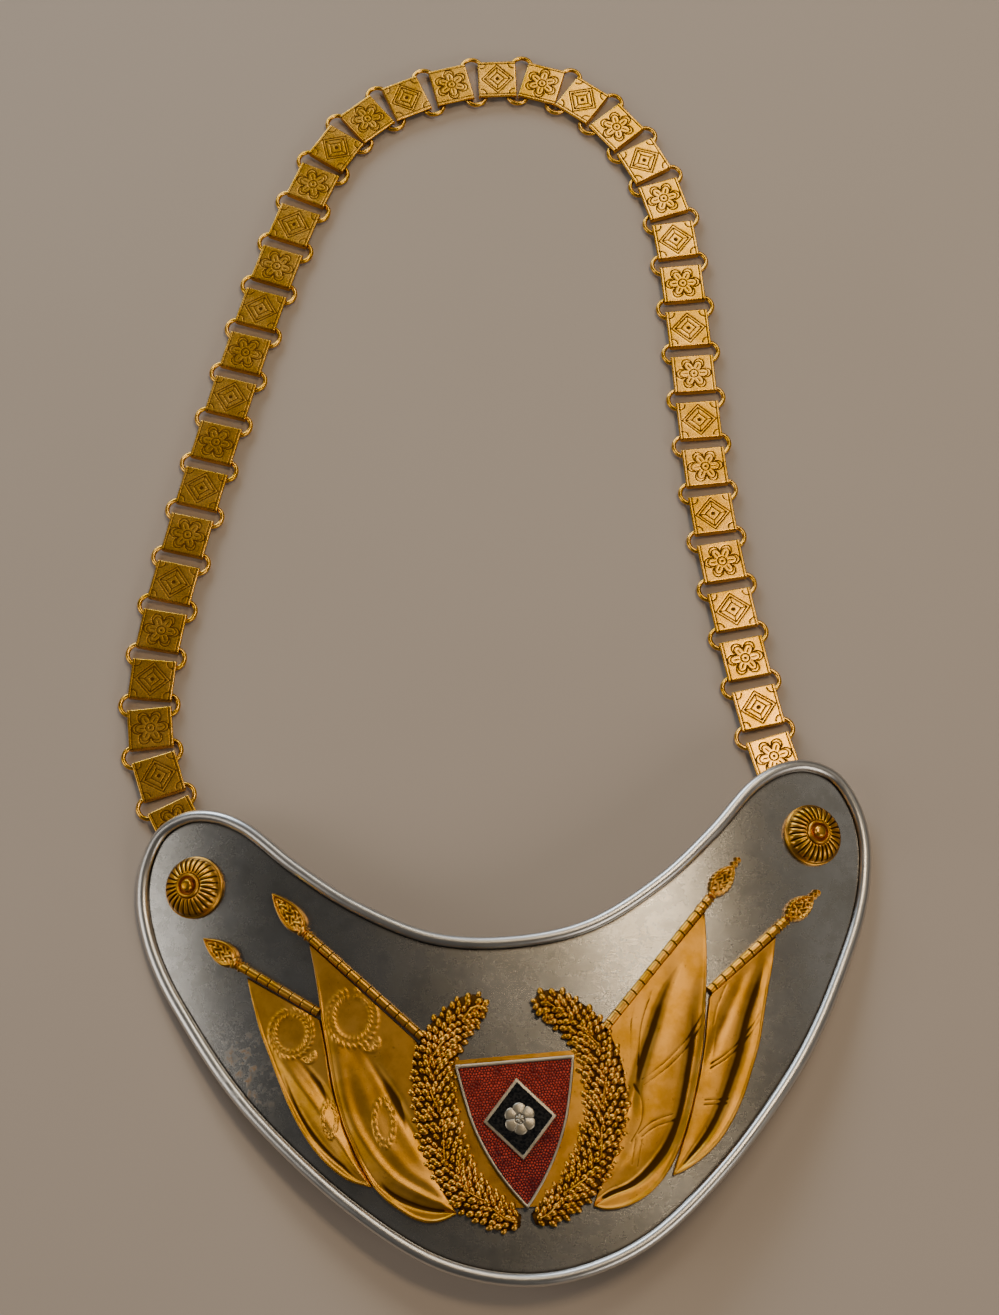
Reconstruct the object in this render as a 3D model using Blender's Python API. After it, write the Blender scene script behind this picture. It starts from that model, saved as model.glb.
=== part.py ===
"""A parade gorget lying on its back: a crescent plate with a rolled rim, two hook bosses, a gilt
trophy of four flags with a wreath and an enamelled shield, and the neck chain of box links.

Metres, +Z up, +Y towards the top of the chain. The plate and all that is fixed to it are modelled
level in the plate's own frame, whose origin is midway between the tops of its two tips, and an
empty then leans them as they lie. The chain lies flat on the surface. Run it with
blender --background --python part.py, or from the text editor.
"""

import math

import bmesh
import bpy
from mathutils import Matrix, Vector

# The plate.
PLATE_WIDTH = 0.200
PLATE_HEIGHT = 0.133
PLATE_SHEET = 0.0010
PLATE_SAGITTA = 0.018
BEND_POWER = 2.4
PLATE_LEAN = 4.0
BEAD_RADIUS = 0.0017
BEAD_RISE = 0.00055
GAP = 0.0003

# The bosses, whose places keep in proportion to the plate.
BOSS_SPREAD = 0.835 * PLATE_WIDTH
BOSS_DROP = 0.1587 * PLATE_HEIGHT
BOSS_DIAMETER = 0.0168
BOSS_HEIGHT = 0.0058

# The trophy, drawn in proportion to the plate.
EMBLEM_OFFSET = -0.005 * PLATE_WIDTH
EMBLEM_DROP = 0.3008 * PLATE_HEIGHT
EMBLEM_HALF = 0.350 * PLATE_WIDTH
EMBLEM_HEIGHT = 0.589 * PLATE_HEIGHT
CAST_BASE = 0.0010
FOLD_HEIGHT = 0.0012
FOLDS = 2.5
STAFF_DIAMETER = 0.0024
FINIAL_LENGTH = 0.0130
FINIAL_WIDTH = 0.0072
WREATH_HEIGHT = 0.0028

# The shield, in proportion to the trophy, and its charge in proportion to the shield.
SHIELD_OFFSET = EMBLEM_OFFSET - 0.0186 * EMBLEM_HALF
SHIELD_DROP = EMBLEM_DROP + 0.4585 * EMBLEM_HEIGHT
SHIELD_WIDTH = 0.443 * EMBLEM_HALF
SHIELD_HEIGHT = 0.483 * EMBLEM_HEIGHT
SHIELD_THICK = 0.0021
SHIELD_RIM = 0.0011
ENAMEL_THICK = 0.0009
ENAMEL_PROUD = 0.0001
CHARGE_WIDTH = 0.613 * SHIELD_WIDTH
CHARGE_HEIGHT = 0.555 * SHIELD_HEIGHT
CHARGE_THICK = 0.0005

# The chain.
LINKS = 37
LINK_LENGTH = 0.0116
LINK_WIDTH = 0.0124
LINK_TOP = 0.0007
LINK_SHEET = 0.0004
LINK_LIP = 0.0034
LIP_WIDTH = 0.0060
RING_WIDTH = 0.0175
RING_LENGTH = 0.0074
RING_WIRE = 0.0013
RING_SEAT = 0.0030
LOOP_HEIGHT = 0.237
EYE_DROP = 0.0083

# The hooks behind the bosses.
HOOK_WIRE = 0.0012
HOOK_PAD = 0.0080
HOOK_PAD_THICK = 0.0008
END_RING_LIFT = 0.00155

# How finely the curves are faceted.
PLATE_COLUMNS = 32
PLATE_ROWS = 4
BEAD_SIDES = 7
ROUND_SIDES = 20
WIRE_SIDES = 5
RING_END_STEPS = 4

# Half of the plate's outline, from the middle of the notch round the tip to the lowest point.
PLATE_OUTLINE = [
    # across: share of half the width, down: share of the height
    (0.000, 0.325), (0.200, 0.305), (0.400, 0.226), (0.550, 0.135), (0.680, 0.041),
    (0.770, 0.006), (0.850, 0.000), (0.930, 0.026), (0.982, 0.089), (1.000, 0.166),
    (0.985, 0.257), (0.950, 0.339), (0.900, 0.418), (0.800, 0.552), (0.700, 0.657),
    (0.500, 0.819), (0.300, 0.937), (0.150, 0.984), (0.000, 1.000),
]

# The chain's route through the ring centres, from the left hook over the top to the right hook.
CHAIN_ROUTE = [
    # across: share of half the plate's width, up: share of the loop's height above the left eye
    (-0.855, 0.000), (-0.911, 0.058), (-0.950, 0.144), (-0.923, 0.237), (-0.841, 0.359),
    (-0.697, 0.541), (-0.541, 0.721), (-0.424, 0.835), (-0.358, 0.888), (-0.270, 0.936),
    (-0.155, 0.970), (-0.018, 0.990), (0.115, 1.000), (0.245, 0.999), (0.370, 0.983),
    (0.483, 0.947), (0.578, 0.895), (0.643, 0.835), (0.677, 0.770), (0.685, 0.657),
    (0.683, 0.402), (0.701, 0.273), (0.755, 0.080), (0.785, 0.018),
]

# Where each flag's top edge starts and ends across, on the line just below its staff.
FLAG_TOPS = {
    # outer corner across, inner corner across
    "outer": (0.972, 0.735),
    "inner": (0.724, 0.398),
}

# An inner flag below its top edge, a row for each section down to the curled hem.
INNER_FLAG = [
    # outer edge across, outer edge down, inner edge across, inner edge down
    (0.720, 0.244, 0.417, 0.462),
    (0.703, 0.436, 0.429, 0.590),
    (0.674, 0.628, 0.420, 0.718),
    (0.617, 0.776, 0.379, 0.833),
    (0.521, 0.885, 0.325, 0.917),
    (0.371, 0.964, 0.283, 0.949),
]

# An outer flag: its inner edge follows the inner flag's outer edge at the level given.
OUTER_FLAG = [
    # outer edge across, outer edge down, inner edge down
    (0.950, 0.269, 0.370),
    (0.900, 0.436, 0.480),
    (0.829, 0.615, 0.600),
    (0.760, 0.724, 0.690),
    (0.679, 0.797, 0.765),
]

# Staffs, as the lower end and the foot of the finial.
STAFFS = {
    # lower end across, down, finial foot across, down
    "outer": (0.765, 0.226, 1.020, 0.033),
    "inner": (0.390, 0.315, 0.748, -0.055),
}

# A staff's finial, a row for each section from the staff's collar to the spear's point.
FINIAL = [
    # along: share of its length, half width and half thickness: shares of half its width
    (-0.06, 0.34, 0.34), (0.00, 0.52, 0.44), (0.06, 0.52, 0.44), (0.11, 0.30, 0.32),
    (0.21, 0.72, 0.36), (0.37, 1.00, 0.40), (0.60, 0.82, 0.36), (0.84, 0.38, 0.26),
    (1.00, 0.08, 0.12),
]

# One half of the wreath, a row for each section from the free end round to the foot.
WREATH = [
    # outer edge across, outer edge down, inner edge across, inner edge down
    (0.115, 0.243, 0.122, 0.326),
    (0.180, 0.226, 0.140, 0.357),
    (0.268, 0.266, 0.180, 0.390),
    (0.345, 0.352, 0.235, 0.440),
    (0.392, 0.460, 0.236, 0.500),
    (0.400, 0.600, 0.226, 0.620),
    (0.380, 0.730, 0.200, 0.715),
    (0.322, 0.850, 0.160, 0.800),
    (0.228, 0.940, 0.112, 0.880),
    (0.128, 0.995, 0.070, 0.945),
    (0.036, 0.998, 0.030, 0.968),
]

# The heater shield's half outline, from the top corner to the point.
SHIELD_OUTLINE = [
    # across: share of half the width, down: share of the height
    (1.00, 0.00), (0.94, 0.14), (0.88, 0.26), (0.80, 0.40), (0.68, 0.54), (0.51, 0.69),
    (0.29, 0.84), (0.00, 1.00),
]

# A boss's turned profile, from the middle of its underside outwards and up to the knob.
BOSS_PROFILE = [
    # radius: share of the boss's radius, height: share of its height
    (1.00, 0.00), (1.00, 0.10), (0.93, 0.17), (0.84, 0.18), (0.80, 0.36), (0.66, 0.58),
    (0.44, 0.74), (0.38, 0.82), (0.30, 0.76), (0.21, 0.78), (0.19, 0.92), (0.10, 1.00),
]

HALF_WIDTH = PLATE_WIDTH / 2
BAR_LEVEL = LINK_SHEET + GAP + RING_WIRE / 2
LINK_HEIGHT = BAR_LEVEL + RING_WIRE / 2 + GAP + LINK_TOP
BAR_REACH = (RING_LENGTH - RING_WIRE) / 2


def clear_scene():
    """Empty the scene of everything that it starts with."""
    for obj in list(bpy.data.objects):
        bpy.data.objects.remove(obj, do_unlink=True)


def make_material(name, colour, roughness, metallic=1.0):
    """One plain Principled material."""
    mat = bpy.data.materials.new(name)
    mat.use_nodes = True
    shader = mat.node_tree.nodes["Principled BSDF"]
    shader.inputs["Base Color"].default_value = (*colour, 1.0)
    shader.inputs["Roughness"].default_value = roughness
    shader.inputs["Metallic"].default_value = metallic
    mat.diffuse_color = (*colour, 1.0)
    return mat


def add_object(name, verts, faces, material, parent=None, smooth=True):
    """A mesh object from points and faces, all its faces turned outwards."""
    mesh = bpy.data.meshes.new(name)
    bm = bmesh.new()
    made = [bm.verts.new(v) for v in verts]
    for face in faces:
        bm.faces.new([made[i] for i in face])
    bmesh.ops.recalc_face_normals(bm, faces=bm.faces)
    bm.to_mesh(mesh)
    bm.free()
    if smooth:
        mesh.shade_smooth()
        mesh.set_sharp_from_angle(angle=math.radians(40))
    mesh.materials.append(material)
    obj = bpy.data.objects.new(name, mesh)
    bpy.context.scene.collection.objects.link(obj)
    obj.parent = parent
    return obj


def fuse(obj, others):
    """Join solids that overlap into one body, and drop the helpers."""
    for other in others:
        other.hide_render = True
        other.display_type = "WIRE"
        union = obj.modifiers.new("fuse", "BOOLEAN")
        union.operation = "UNION"
        union.solver = "EXACT"
        union.object = other
    bpy.context.view_layer.update()
    graph = bpy.context.evaluated_depsgraph_get()
    joined = bpy.data.meshes.new_from_object(obj.evaluated_get(graph))
    obj.modifiers.clear()
    obj.data = joined
    for other in others:
        bpy.data.objects.remove(other, do_unlink=True)
    return obj


def spline(points, steps, closed=False):
    """A centripetal Catmull-Rom curve through chosen points, as a list of plan vectors."""
    pts = [Vector(p) for p in points]
    if closed:
        pts = [pts[-1], *pts, pts[0], pts[1]]
    else:
        pts = [2 * pts[0] - pts[1], *pts, 2 * pts[-1] - pts[-2]]
    curve = []
    for a, b, c, d in zip(pts, pts[1:], pts[2:], pts[3:]):
        knots = [0.0]
        for p, q in ((a, b), (b, c), (c, d)):
            knots.append(knots[-1] + math.sqrt((q - p).length))
        t0, t1, t2, t3 = knots
        for i in range(steps):
            t = t1 + (t2 - t1) * i / steps
            a1 = a.lerp(b, (t - t0) / (t1 - t0))
            a2 = b.lerp(c, (t - t1) / (t2 - t1))
            a3 = c.lerp(d, (t - t2) / (t3 - t2))
            b1 = a1.lerp(a2, (t - t0) / (t2 - t0))
            b2 = a2.lerp(a3, (t - t1) / (t3 - t1))
            curve.append(b1.lerp(b2, (t - t1) / (t2 - t1)))
    if not closed:
        curve.append(pts[-2].copy())
    return curve


def spread_evenly(curve, count):
    """The points that divide a curve into count equal lengths, both ends included."""
    lengths = [0.0]
    for p, q in zip(curve, curve[1:]):
        lengths.append(lengths[-1] + (q - p).length)
    points, at = [], 0
    for i in range(count + 1):
        goal = lengths[-1] * i / count
        while at < len(curve) - 2 and lengths[at + 1] < goal:
            at += 1
        span = lengths[at + 1] - lengths[at]
        points.append(curve[at].lerp(curve[at + 1], (goal - lengths[at]) / span))
    return points


def bend(x):
    """Height of the sheet's middle surface above its two sides, across the plate."""
    return PLATE_SAGITTA * (1 - min(1.0, abs(x) / HALF_WIDTH) ** BEND_POWER)


def bend_normal(x):
    """The sheet's upward normal, which leans outwards towards the sides."""
    share = min(1.0, abs(x) / HALF_WIDTH)
    slope = PLATE_SAGITTA * BEND_POWER / HALF_WIDTH * share ** (BEND_POWER - 1)
    return Vector((math.copysign(slope, x), 0, 1)).normalized()


def on_plate(x, y, height):
    """A point of the plate's frame, height above the sheet's middle surface."""
    return Vector((x, y, bend(x))) + bend_normal(x) * height


SEAT = PLATE_SHEET / 2 + GAP


def plate_outline():
    """Points round the bead's outer edge: the upper side left to right, then the lower side."""
    half = [(a * HALF_WIDTH, -d * PLATE_HEIGHT) for a, d in PLATE_OUTLINE]
    whole = half + [(-x, y) for x, y in half[-2:0:-1]]
    curve = spline(whole, 8, closed=True)
    right = max(range(len(curve)), key=lambda i: curve[i].x)
    left = min(range(len(curve)), key=lambda i: curve[i].x)
    lower = curve[right:left + 1]
    upper = curve[left:] + curve[:right + 1]
    upper = spread_evenly(upper, PLATE_COLUMNS)
    lower = spread_evenly(lower, PLATE_COLUMNS)
    return upper + lower[1:-1]


def build_breastplate(material, frame):
    """The bent sheet with its rolled bead, as one solid: a bead ring and two gridded faces."""
    edge = plate_outline()
    count = len(edge)
    start = math.asin((PLATE_SHEET / 2 - BEAD_RISE) / BEAD_RADIUS)
    end = 2 * math.pi + math.asin((-PLATE_SHEET / 2 - BEAD_RISE) / BEAD_RADIUS)
    plan, verts, faces = [], [], []
    for i, point in enumerate(edge):
        along = (edge[(i + 1) % count] - edge[i - 1]).normalized()
        inward = Vector((along.y, -along.x))
        ring = []
        for k in range(BEAD_SIDES + 1):
            turn = start + (end - start) * k / BEAD_SIDES
            spot = point + inward * BEAD_RADIUS * (1 + math.cos(turn))
            height = BEAD_RISE + BEAD_RADIUS * math.sin(turn)
            ring.append(len(verts))
            plan.append(spot)
            verts.append(on_plate(spot.x, spot.y, height))
        if i:
            faces += strip(ring_before, ring)
        else:
            first = ring
        ring_before = ring
    faces += strip(ring_before, first)
    stride = BEAD_SIDES + 1
    for side, height in ((0, PLATE_SHEET / 2), (BEAD_SIDES, -PLATE_SHEET / 2)):
        columns = [[side]]
        for k in range(1, PLATE_COLUMNS):
            top, low = k * stride + side, (count - k) * stride + side
            column = [top]
            for r in range(1, PLATE_ROWS):
                spot = plan[top].lerp(plan[low], r / PLATE_ROWS)
                column.append(len(verts))
                plan.append(spot)
                verts.append(on_plate(spot.x, spot.y, height))
            columns.append(column + [low])
        columns.append([PLATE_COLUMNS * stride + side])
        for a, b in zip(columns, columns[1:]):
            if len(a) == 1:
                faces += [(a[0], p, q) for p, q in zip(b, b[1:])]
            elif len(b) == 1:
                faces += [(b[0], q, p) for p, q in zip(a, a[1:])]
            else:
                faces += strip(a, b)
    return add_object("breastplate", verts, faces, material, frame)


def strip(a, b):
    """Four-sided faces between two rows of vertex numbers."""
    return [(p, q, s, r) for p, q, r, s in zip(a, a[1:], b, b[1:])]


def loft(rings, caps=True):
    """Points and faces of a tube through closed rings of points, its two ends filled."""
    size = len(rings[0])
    verts = [p for ring in rings for p in ring]
    faces = []
    for i in range(len(rings) - 1):
        a = [i * size + k for k in range(size)]
        b = [(i + 1) * size + k for k in range(size)]
        faces += strip(a + a[:1], b + b[:1])
    if caps:
        faces.append(tuple(reversed(range(size))))
        faces.append(tuple(range(len(verts) - size, len(verts))))
    return verts, faces


def relief(name, left, right, height, columns, material, frame):
    """A low casting seated on the plate between two edges, its top given by height(s, t)."""
    rows = len(left)
    verts, faces = [], []
    for raised in (True, False):
        for i, (a, b) in enumerate(zip(left, right)):
            for k in range(columns + 1):
                s, t = k / columns, i / (rows - 1)
                spot = a.lerp(b, s)
                level = SEAT + (height(s, t) if raised else 0.0)
                verts.append(on_plate(spot.x, spot.y, level))
    size = rows * (columns + 1)
    grid = [[i * (columns + 1) + k for k in range(columns + 1)] for i in range(rows)]
    for a, b in zip(grid, grid[1:]):
        faces += strip(a, b)
        faces += strip([size + v for v in b], [size + v for v in a])
    rim = grid[0] + [row[-1] for row in grid[1:]]
    rim += grid[-1][-2::-1] + [row[0] for row in grid[-2:0:-1]]
    rim.append(rim[0])
    faces += strip([size + v for v in rim], rim)
    return add_object(name, verts, faces, material, frame)


def emblem_point(side, across, down):
    """A plan point of the trophy, from shares of its half width and height."""
    return Vector((EMBLEM_OFFSET + side * across * EMBLEM_HALF,
                   -EMBLEM_DROP - down * EMBLEM_HEIGHT))


def edge_across(table, down):
    """How far out a table's outer edge lies at one level, by straight steps between its rows."""
    for (a0, d0, *_), (a1, d1, *_) in zip(table, table[1:]):
        if d0 <= down <= d1:
            return a0 + (a1 - a0) * (down - d0) / (d1 - d0)
    return table[0][0] if down < table[0][1] else table[-1][0]


def under_staff(side, which, across):
    """The point of one share across on the line that clears the underside of a staff."""
    a0, d0, a1, d1 = STAFFS[which]
    low, foot = emblem_point(side, a0, d0), emblem_point(side, a1, d1)
    slope = (foot.y - low.y) / (foot.x - low.x)
    clear = (STAFF_DIAMETER / 2 + GAP) * math.hypot(1, slope)
    spot = emblem_point(side, across, 0)
    return Vector((spot.x, low.y + slope * (spot.x - low.x) - clear))


def fold_height(phase):
    """The cloth's height above the casting's base: broad folds that die out at both ends."""
    def height(s, t):
        wave = 0.5 - 0.5 * math.cos(2 * math.pi * (FOLDS * s + 0.35 * t + phase))
        fade = math.sin(math.pi * min(1.0, 0.15 + t * 1.2) / 2) * min(1.0, 3.2 * (1.15 - t))
        return CAST_BASE + FOLD_HEIGHT * wave * fade
    return height


def build_flags(material, frame):
    """Two flags on each side, the inner ones whole and the outer ones tucked up against them."""
    for side, word in ((-1, "left"), (1, "right")):
        corners = [under_staff(side, "inner", a) for a in FLAG_TOPS["inner"]]
        outer = corners[:1] + [emblem_point(side, a, d) for a, d, _, _ in INNER_FLAG]
        inner = corners[1:] + [emblem_point(side, a, d) for _, _, a, d in INNER_FLAG]
        relief(f"flag_inner_{word}", spread_evenly(spline(outer, 6), 8),
               spread_evenly(spline(inner, 6), 8), fold_height(0.0), 6, material, frame)
        tuck = 3 * GAP / EMBLEM_HALF
        start = max(FLAG_TOPS["outer"][1], INNER_FLAG[0][0] + tuck)
        outer = [under_staff(side, "outer", FLAG_TOPS["outer"][0])]
        outer += [emblem_point(side, a, d) for a, d, _ in OUTER_FLAG]
        inner = [under_staff(side, "outer", start)]
        inner += [emblem_point(side, edge_across(INNER_FLAG, d) + tuck, d)
                  for _, _, d in OUTER_FLAG]
        relief(f"flag_outer_{word}", spread_evenly(spline(outer, 6), 7),
               spread_evenly(inner, 7), fold_height(0.3), 5, material, frame)


def build_staffs(material, frame):
    """A round staff with a collar and a spear finial above each flag."""
    radius = STAFF_DIAMETER / 2
    for side, word in ((-1, "left"), (1, "right")):
        for which, (a0, d0, a1, d1) in STAFFS.items():
            low, foot = emblem_point(side, a0, d0), emblem_point(side, a1, d1)
            along = (foot - low).normalized()
            across = Vector((along.y, -along.x))
            span = (foot - low).length
            sections = [(span * k / 4, radius, radius) for k in range(4)]
            sections += [(span + FINIAL_LENGTH * s, FINIAL_WIDTH / 2 * w, FINIAL_WIDTH / 2 * h)
                         for s, w, h in FINIAL]
            rings = []
            for reach, wide, high in sections:
                ring = []
                for k in range(8):
                    turn = 2 * math.pi * (k + 0.5) / 8
                    spot = low + along * reach + across * wide * math.cos(turn)
                    ring.append(on_plate(spot.x, spot.y,
                                         SEAT + radius + high * math.sin(turn)))
                rings.append(ring)
            verts, faces = loft(rings)
            add_object(f"staff_{which}_{word}", verts, faces, material, frame)


def wreath_height(s, t):
    """A full roll of leaves over most of the width, with a low backing band on the inside."""
    roll = max(0.0, 1 - (2 * s / 0.82 - 1) ** 2) if s < 0.82 else 0.0
    leaves = 0.85 + 0.15 * math.cos(2 * math.pi * 9 * t)
    ends = min(1.0, 0.45 + 4 * min(t, 1 - t))
    return CAST_BASE * 0.8 + (WREATH_HEIGHT - CAST_BASE) * math.sqrt(roll) * leaves * ends


def shield_half_width(down):
    """The shield's half width at one level of the plate's frame."""
    share = (-down - SHIELD_DROP) / SHIELD_HEIGHT
    if not 0 <= share <= 1:
        return 0.0
    for (a0, d0), (a1, d1) in zip(SHIELD_OUTLINE, SHIELD_OUTLINE[1:]):
        if d0 <= share <= d1:
            return SHIELD_WIDTH / 2 * (a0 + (a1 - a0) * (share - d0) / (d1 - d0))
    return 0.0


def build_wreath(material, frame):
    """Two branches that rise from below the shield's point and clear its sides."""
    for side, word in ((-1, "left"), (1, "right")):
        outer = spline([emblem_point(side, a, d) for a, d, _, _ in WREATH], 6)
        inner = spline([emblem_point(side, a, d) for _, _, a, d in WREATH], 6)
        outer, inner = spread_evenly(outer, 15), spread_evenly(inner, 15)
        for spot in inner:
            if shield_half_width(spot.y) > 0:
                spot.x = SHIELD_OFFSET + side * (shield_half_width(spot.y) + GAP * 2)
        relief(f"wreath_{word}", outer, inner, wreath_height, 5, material, frame)


def shield_outline(inset):
    """The heater's whole outline in its own plane, moved in from the edge by inset."""
    half = SHIELD_WIDTH / 2
    right = [Vector((a * half, -d * SHIELD_HEIGHT)) for a, d in SHIELD_OUTLINE]
    whole = right + [Vector((-p.x, p.y)) for p in right[-2::-1]]
    moved = []
    for i, point in enumerate(whole):
        before = (point - whole[i - 1]).normalized()
        after = (whole[(i + 1) % len(whole)] - point).normalized()
        a, b = Vector((before.y, -before.x)), Vector((after.y, -after.x))
        moved.append(point + (a + b) * inset / (1 + a.dot(b)))
    return moved


def flat_slab(outline, low, high):
    """Rings of a slab with upright sides."""
    return [[Vector((p.x, p.y, low)) for p in outline],
            [Vector((p.x, p.y, high)) for p in outline]]


def build_shield(silver, red, black, frame):
    """A flat tray with a raised rim, the enamel that fills it, and the charge on the enamel."""
    floor = SHIELD_THICK - ENAMEL_THICK - GAP
    seat = Vector((SHIELD_OFFSET, -SHIELD_DROP, bend(0.0) + SEAT))
    outer, inner = shield_outline(0.0), shield_outline(SHIELD_RIM)
    rings = flat_slab(outer, 0.0, SHIELD_THICK) + flat_slab(inner, SHIELD_THICK, floor)
    verts, faces = loft(rings)
    add_object("shield", verts, faces, silver, frame, smooth=False).location = seat
    fill = shield_outline(SHIELD_RIM + GAP)
    top = floor + GAP + ENAMEL_THICK + ENAMEL_PROUD
    verts, faces = loft(flat_slab(fill, floor + GAP, top))
    add_object("shield_enamel", verts, faces, red, frame, smooth=False).location = seat
    middle = -0.40 * SHIELD_HEIGHT
    lozenge = [Vector((0, middle + CHARGE_HEIGHT / 2)), Vector((CHARGE_WIDTH / 2, middle)),
               Vector((0, middle - CHARGE_HEIGHT / 2)), Vector((-CHARGE_WIDTH / 2, middle))]
    verts, faces = loft(flat_slab(lozenge, top + GAP, top + GAP + CHARGE_THICK))
    add_object("shield_charge", verts, faces, black, frame, smooth=False).location = seat


def boss_place(side):
    """Where a boss stands on the plate, with its axis on the sheet's normal."""
    x = side * BOSS_SPREAD / 2
    normal = bend_normal(x)
    turn = Vector((0, 0, 1)).rotation_difference(normal).to_matrix().to_4x4()
    return Matrix.Translation(on_plate(x, -BOSS_DROP, SEAT)) @ turn


def build_bosses(material, frame):
    """Two turned bosses with a stepped flange, a dome and a ringed knob."""
    for side, word in ((-1, "left"), (1, "right")):
        rings = []
        for share, level in BOSS_PROFILE:
            radius = share * BOSS_DIAMETER / 2
            rings.append([Vector((radius * math.cos(2 * math.pi * k / ROUND_SIDES),
                                  radius * math.sin(2 * math.pi * k / ROUND_SIDES),
                                  level * BOSS_HEIGHT)) for k in range(ROUND_SIDES)])
        verts, faces = loft(rings)
        boss = add_object(f"boss_{word}", verts, faces, material, frame)
        boss.matrix_local = boss_place(side)


def link_place(centre, along):
    """A frame on the surface with +Y along the chain."""
    across = Vector((along.y, -along.x, 0))
    matrix = Matrix((across, Vector((along.x, along.y, 0)), Vector((0, 0, 1)))).transposed()
    return Matrix.Translation((centre.x, centre.y, 0)) @ matrix.to_4x4()


def corner_slip(turn):
    """How far a ring's bar must stand back from a channel's end wall to clear its corners."""
    straight = (RING_WIDTH - RING_LENGTH) / 2
    past = min(BAR_REACH, max(0.0, LIP_WIDTH / 2 - straight))
    curl = BAR_REACH - math.sqrt(BAR_REACH ** 2 - past ** 2)
    return LIP_WIDTH / 2 * math.tan(abs(turn)) + curl


def ring_reach(turn):
    """From a link's middle to the middle of a ring that it holds, at half their turn."""
    bar = LINK_LENGTH / 2 - LINK_SHEET - GAP - RING_WIRE / 2 - corner_slip(turn)
    return bar + BAR_REACH * math.cos(turn)


def lay_chain(loop_height):
    """Ring centres and link directions along the route, and how much of the route is left."""
    route = spline([Vector((a * HALF_WIDTH, u * loop_height - EYE_DROP))
                    for a, u in CHAIN_ROUTE], 24)
    eye = len(route) - 1
    route.append(route[-1] + (route[-1] - route[-2]).normalized() * LINKS * LINK_LENGTH)
    turns = [0.0] * (LINKS + 1)
    for _ in range(4):
        centres, at = [route[0]], 0
        for i in range(LINKS):
            reach = ring_reach(turns[i]) + ring_reach(turns[i + 1])
            here = centres[-1]
            while at < len(route) - 2 and (route[at + 1] - here).length < reach:
                at += 1
            start, step = route[at] - here, route[at + 1] - route[at]
            a, b, c = step.dot(step), 2 * start.dot(step), start.dot(start) - reach ** 2
            share = (-b + math.sqrt(b * b - 4 * a * c)) / (2 * a)
            centres.append(route[at] + step * share)
        if at < eye:
            spare = (route[at + 1] - centres[-1]).length
            spare += sum((q - p).length for p, q in zip(route[at + 1:eye], route[at + 2:eye + 1]))
        else:
            spare = -(centres[-1] - route[eye]).length
        dirs = [(q - p).normalized() for p, q in zip(centres, centres[1:])]
        turns = [0.0] + [a.angle_signed(b) / 2 for a, b in zip(dirs, dirs[1:])] + [0.0]
    return centres, dirs, spare


def fit_chain():
    """The loop's height at which the stated number of links just reaches the right hook."""
    low, high = LOOP_HEIGHT * 0.6, LOOP_HEIGHT * 1.4
    for _ in range(30):
        middle = (low + high) / 2
        if lay_chain(middle)[2] > 0:
            high = middle
        else:
            low = middle
    return lay_chain((low + high) / 2)[:2]


def build_link(name, place, material):
    """One box link: a soft-edged top and a narrower strip under it, folded in at both ends."""
    half, wide, soft = LINK_LENGTH / 2, LINK_WIDTH / 2, LINK_TOP / 2
    top = [[place @ Vector((x * (wide - inset), y * (half - inset), z))
            for x, y in ((-1, -1), (1, -1), (1, 1), (-1, 1))]
           for z, inset in ((LINK_HEIGHT - LINK_TOP, 0.0), (LINK_HEIGHT - soft, 0.0),
                            (LINK_HEIGHT, soft))]
    link = add_object(name, *loft(top), material, smooth=False)
    end, roof = half - GAP / 4, LINK_HEIGHT - LINK_TOP / 2
    under, sheet, lip = LINK_HEIGHT - LINK_TOP - GAP / 4, LINK_SHEET, LINK_LIP
    fold = [(end, 0), (end, roof), (-end, roof), (-end, 0), (lip - end, 0), (lip - end, sheet),
            (sheet - end, sheet), (sheet - end, under), (end - sheet, under),
            (end - sheet, sheet), (end - lip, sheet), (end - lip, 0)]
    strip_rings = [[place @ Vector((x, y, z)) for y, z in fold]
                   for x in (-LIP_WIDTH / 2, LIP_WIDTH / 2)]
    return link, add_object("strip_helper", *loft(strip_rings), material)


def ring_path():
    """The oval ring's wire, level: two straight bars and two round ends."""
    straight = (RING_WIDTH - RING_LENGTH) / 2
    points = []
    for side in (1, -1):
        for k in range(RING_END_STEPS + 1):
            turn = math.pi * (0.5 - k / RING_END_STEPS)
            points.append(Vector((side * (straight + BAR_REACH * math.cos(turn)),
                                  side * BAR_REACH * math.sin(turn), 0)))
    return points


def closed_wire(path, diameter):
    """A closed tube along a loop of points."""
    count = len(path)
    rings = []
    for i, point in enumerate(path):
        along = (path[(i + 1) % count] - path[i - 1]).normalized()
        up = Vector((0, 0, 1)) - along * along.z
        up.normalize()
        side = along.cross(up)
        rings.append([point + (side * math.cos(a) + up * math.sin(a)) * diameter / 2
                      for a in (2 * math.pi * (k + 0.5) / WIRE_SIDES
                                for k in range(WIRE_SIDES))])
    verts, faces = loft(rings + rings[:1], caps=False)
    keep = count * WIRE_SIDES
    return verts[:keep], [tuple(v % keep for v in face) for face in faces]


def lay_ring(name, centre, along, lean, material):
    """One oval ring, level or with one bar lifted: lean is -1 for the near bar, 1 for the far
    one. Returns the ring and the middle of its lifted bar."""
    pitch = lean * math.asin(END_RING_LIFT / (2 * BAR_REACH))
    level = Vector((0, 0, BAR_LEVEL + abs(lean) * END_RING_LIFT / 2))
    place = link_place(centre, along) @ Matrix.Translation(level)
    turned = Matrix.Rotation(pitch, 4, "X")
    path = [place @ turned @ p for p in ring_path()]
    ring = add_object(name, *closed_wire(path, RING_WIRE), material)
    return ring, place @ turned @ Vector((0, lean * BAR_REACH, 0))


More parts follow.
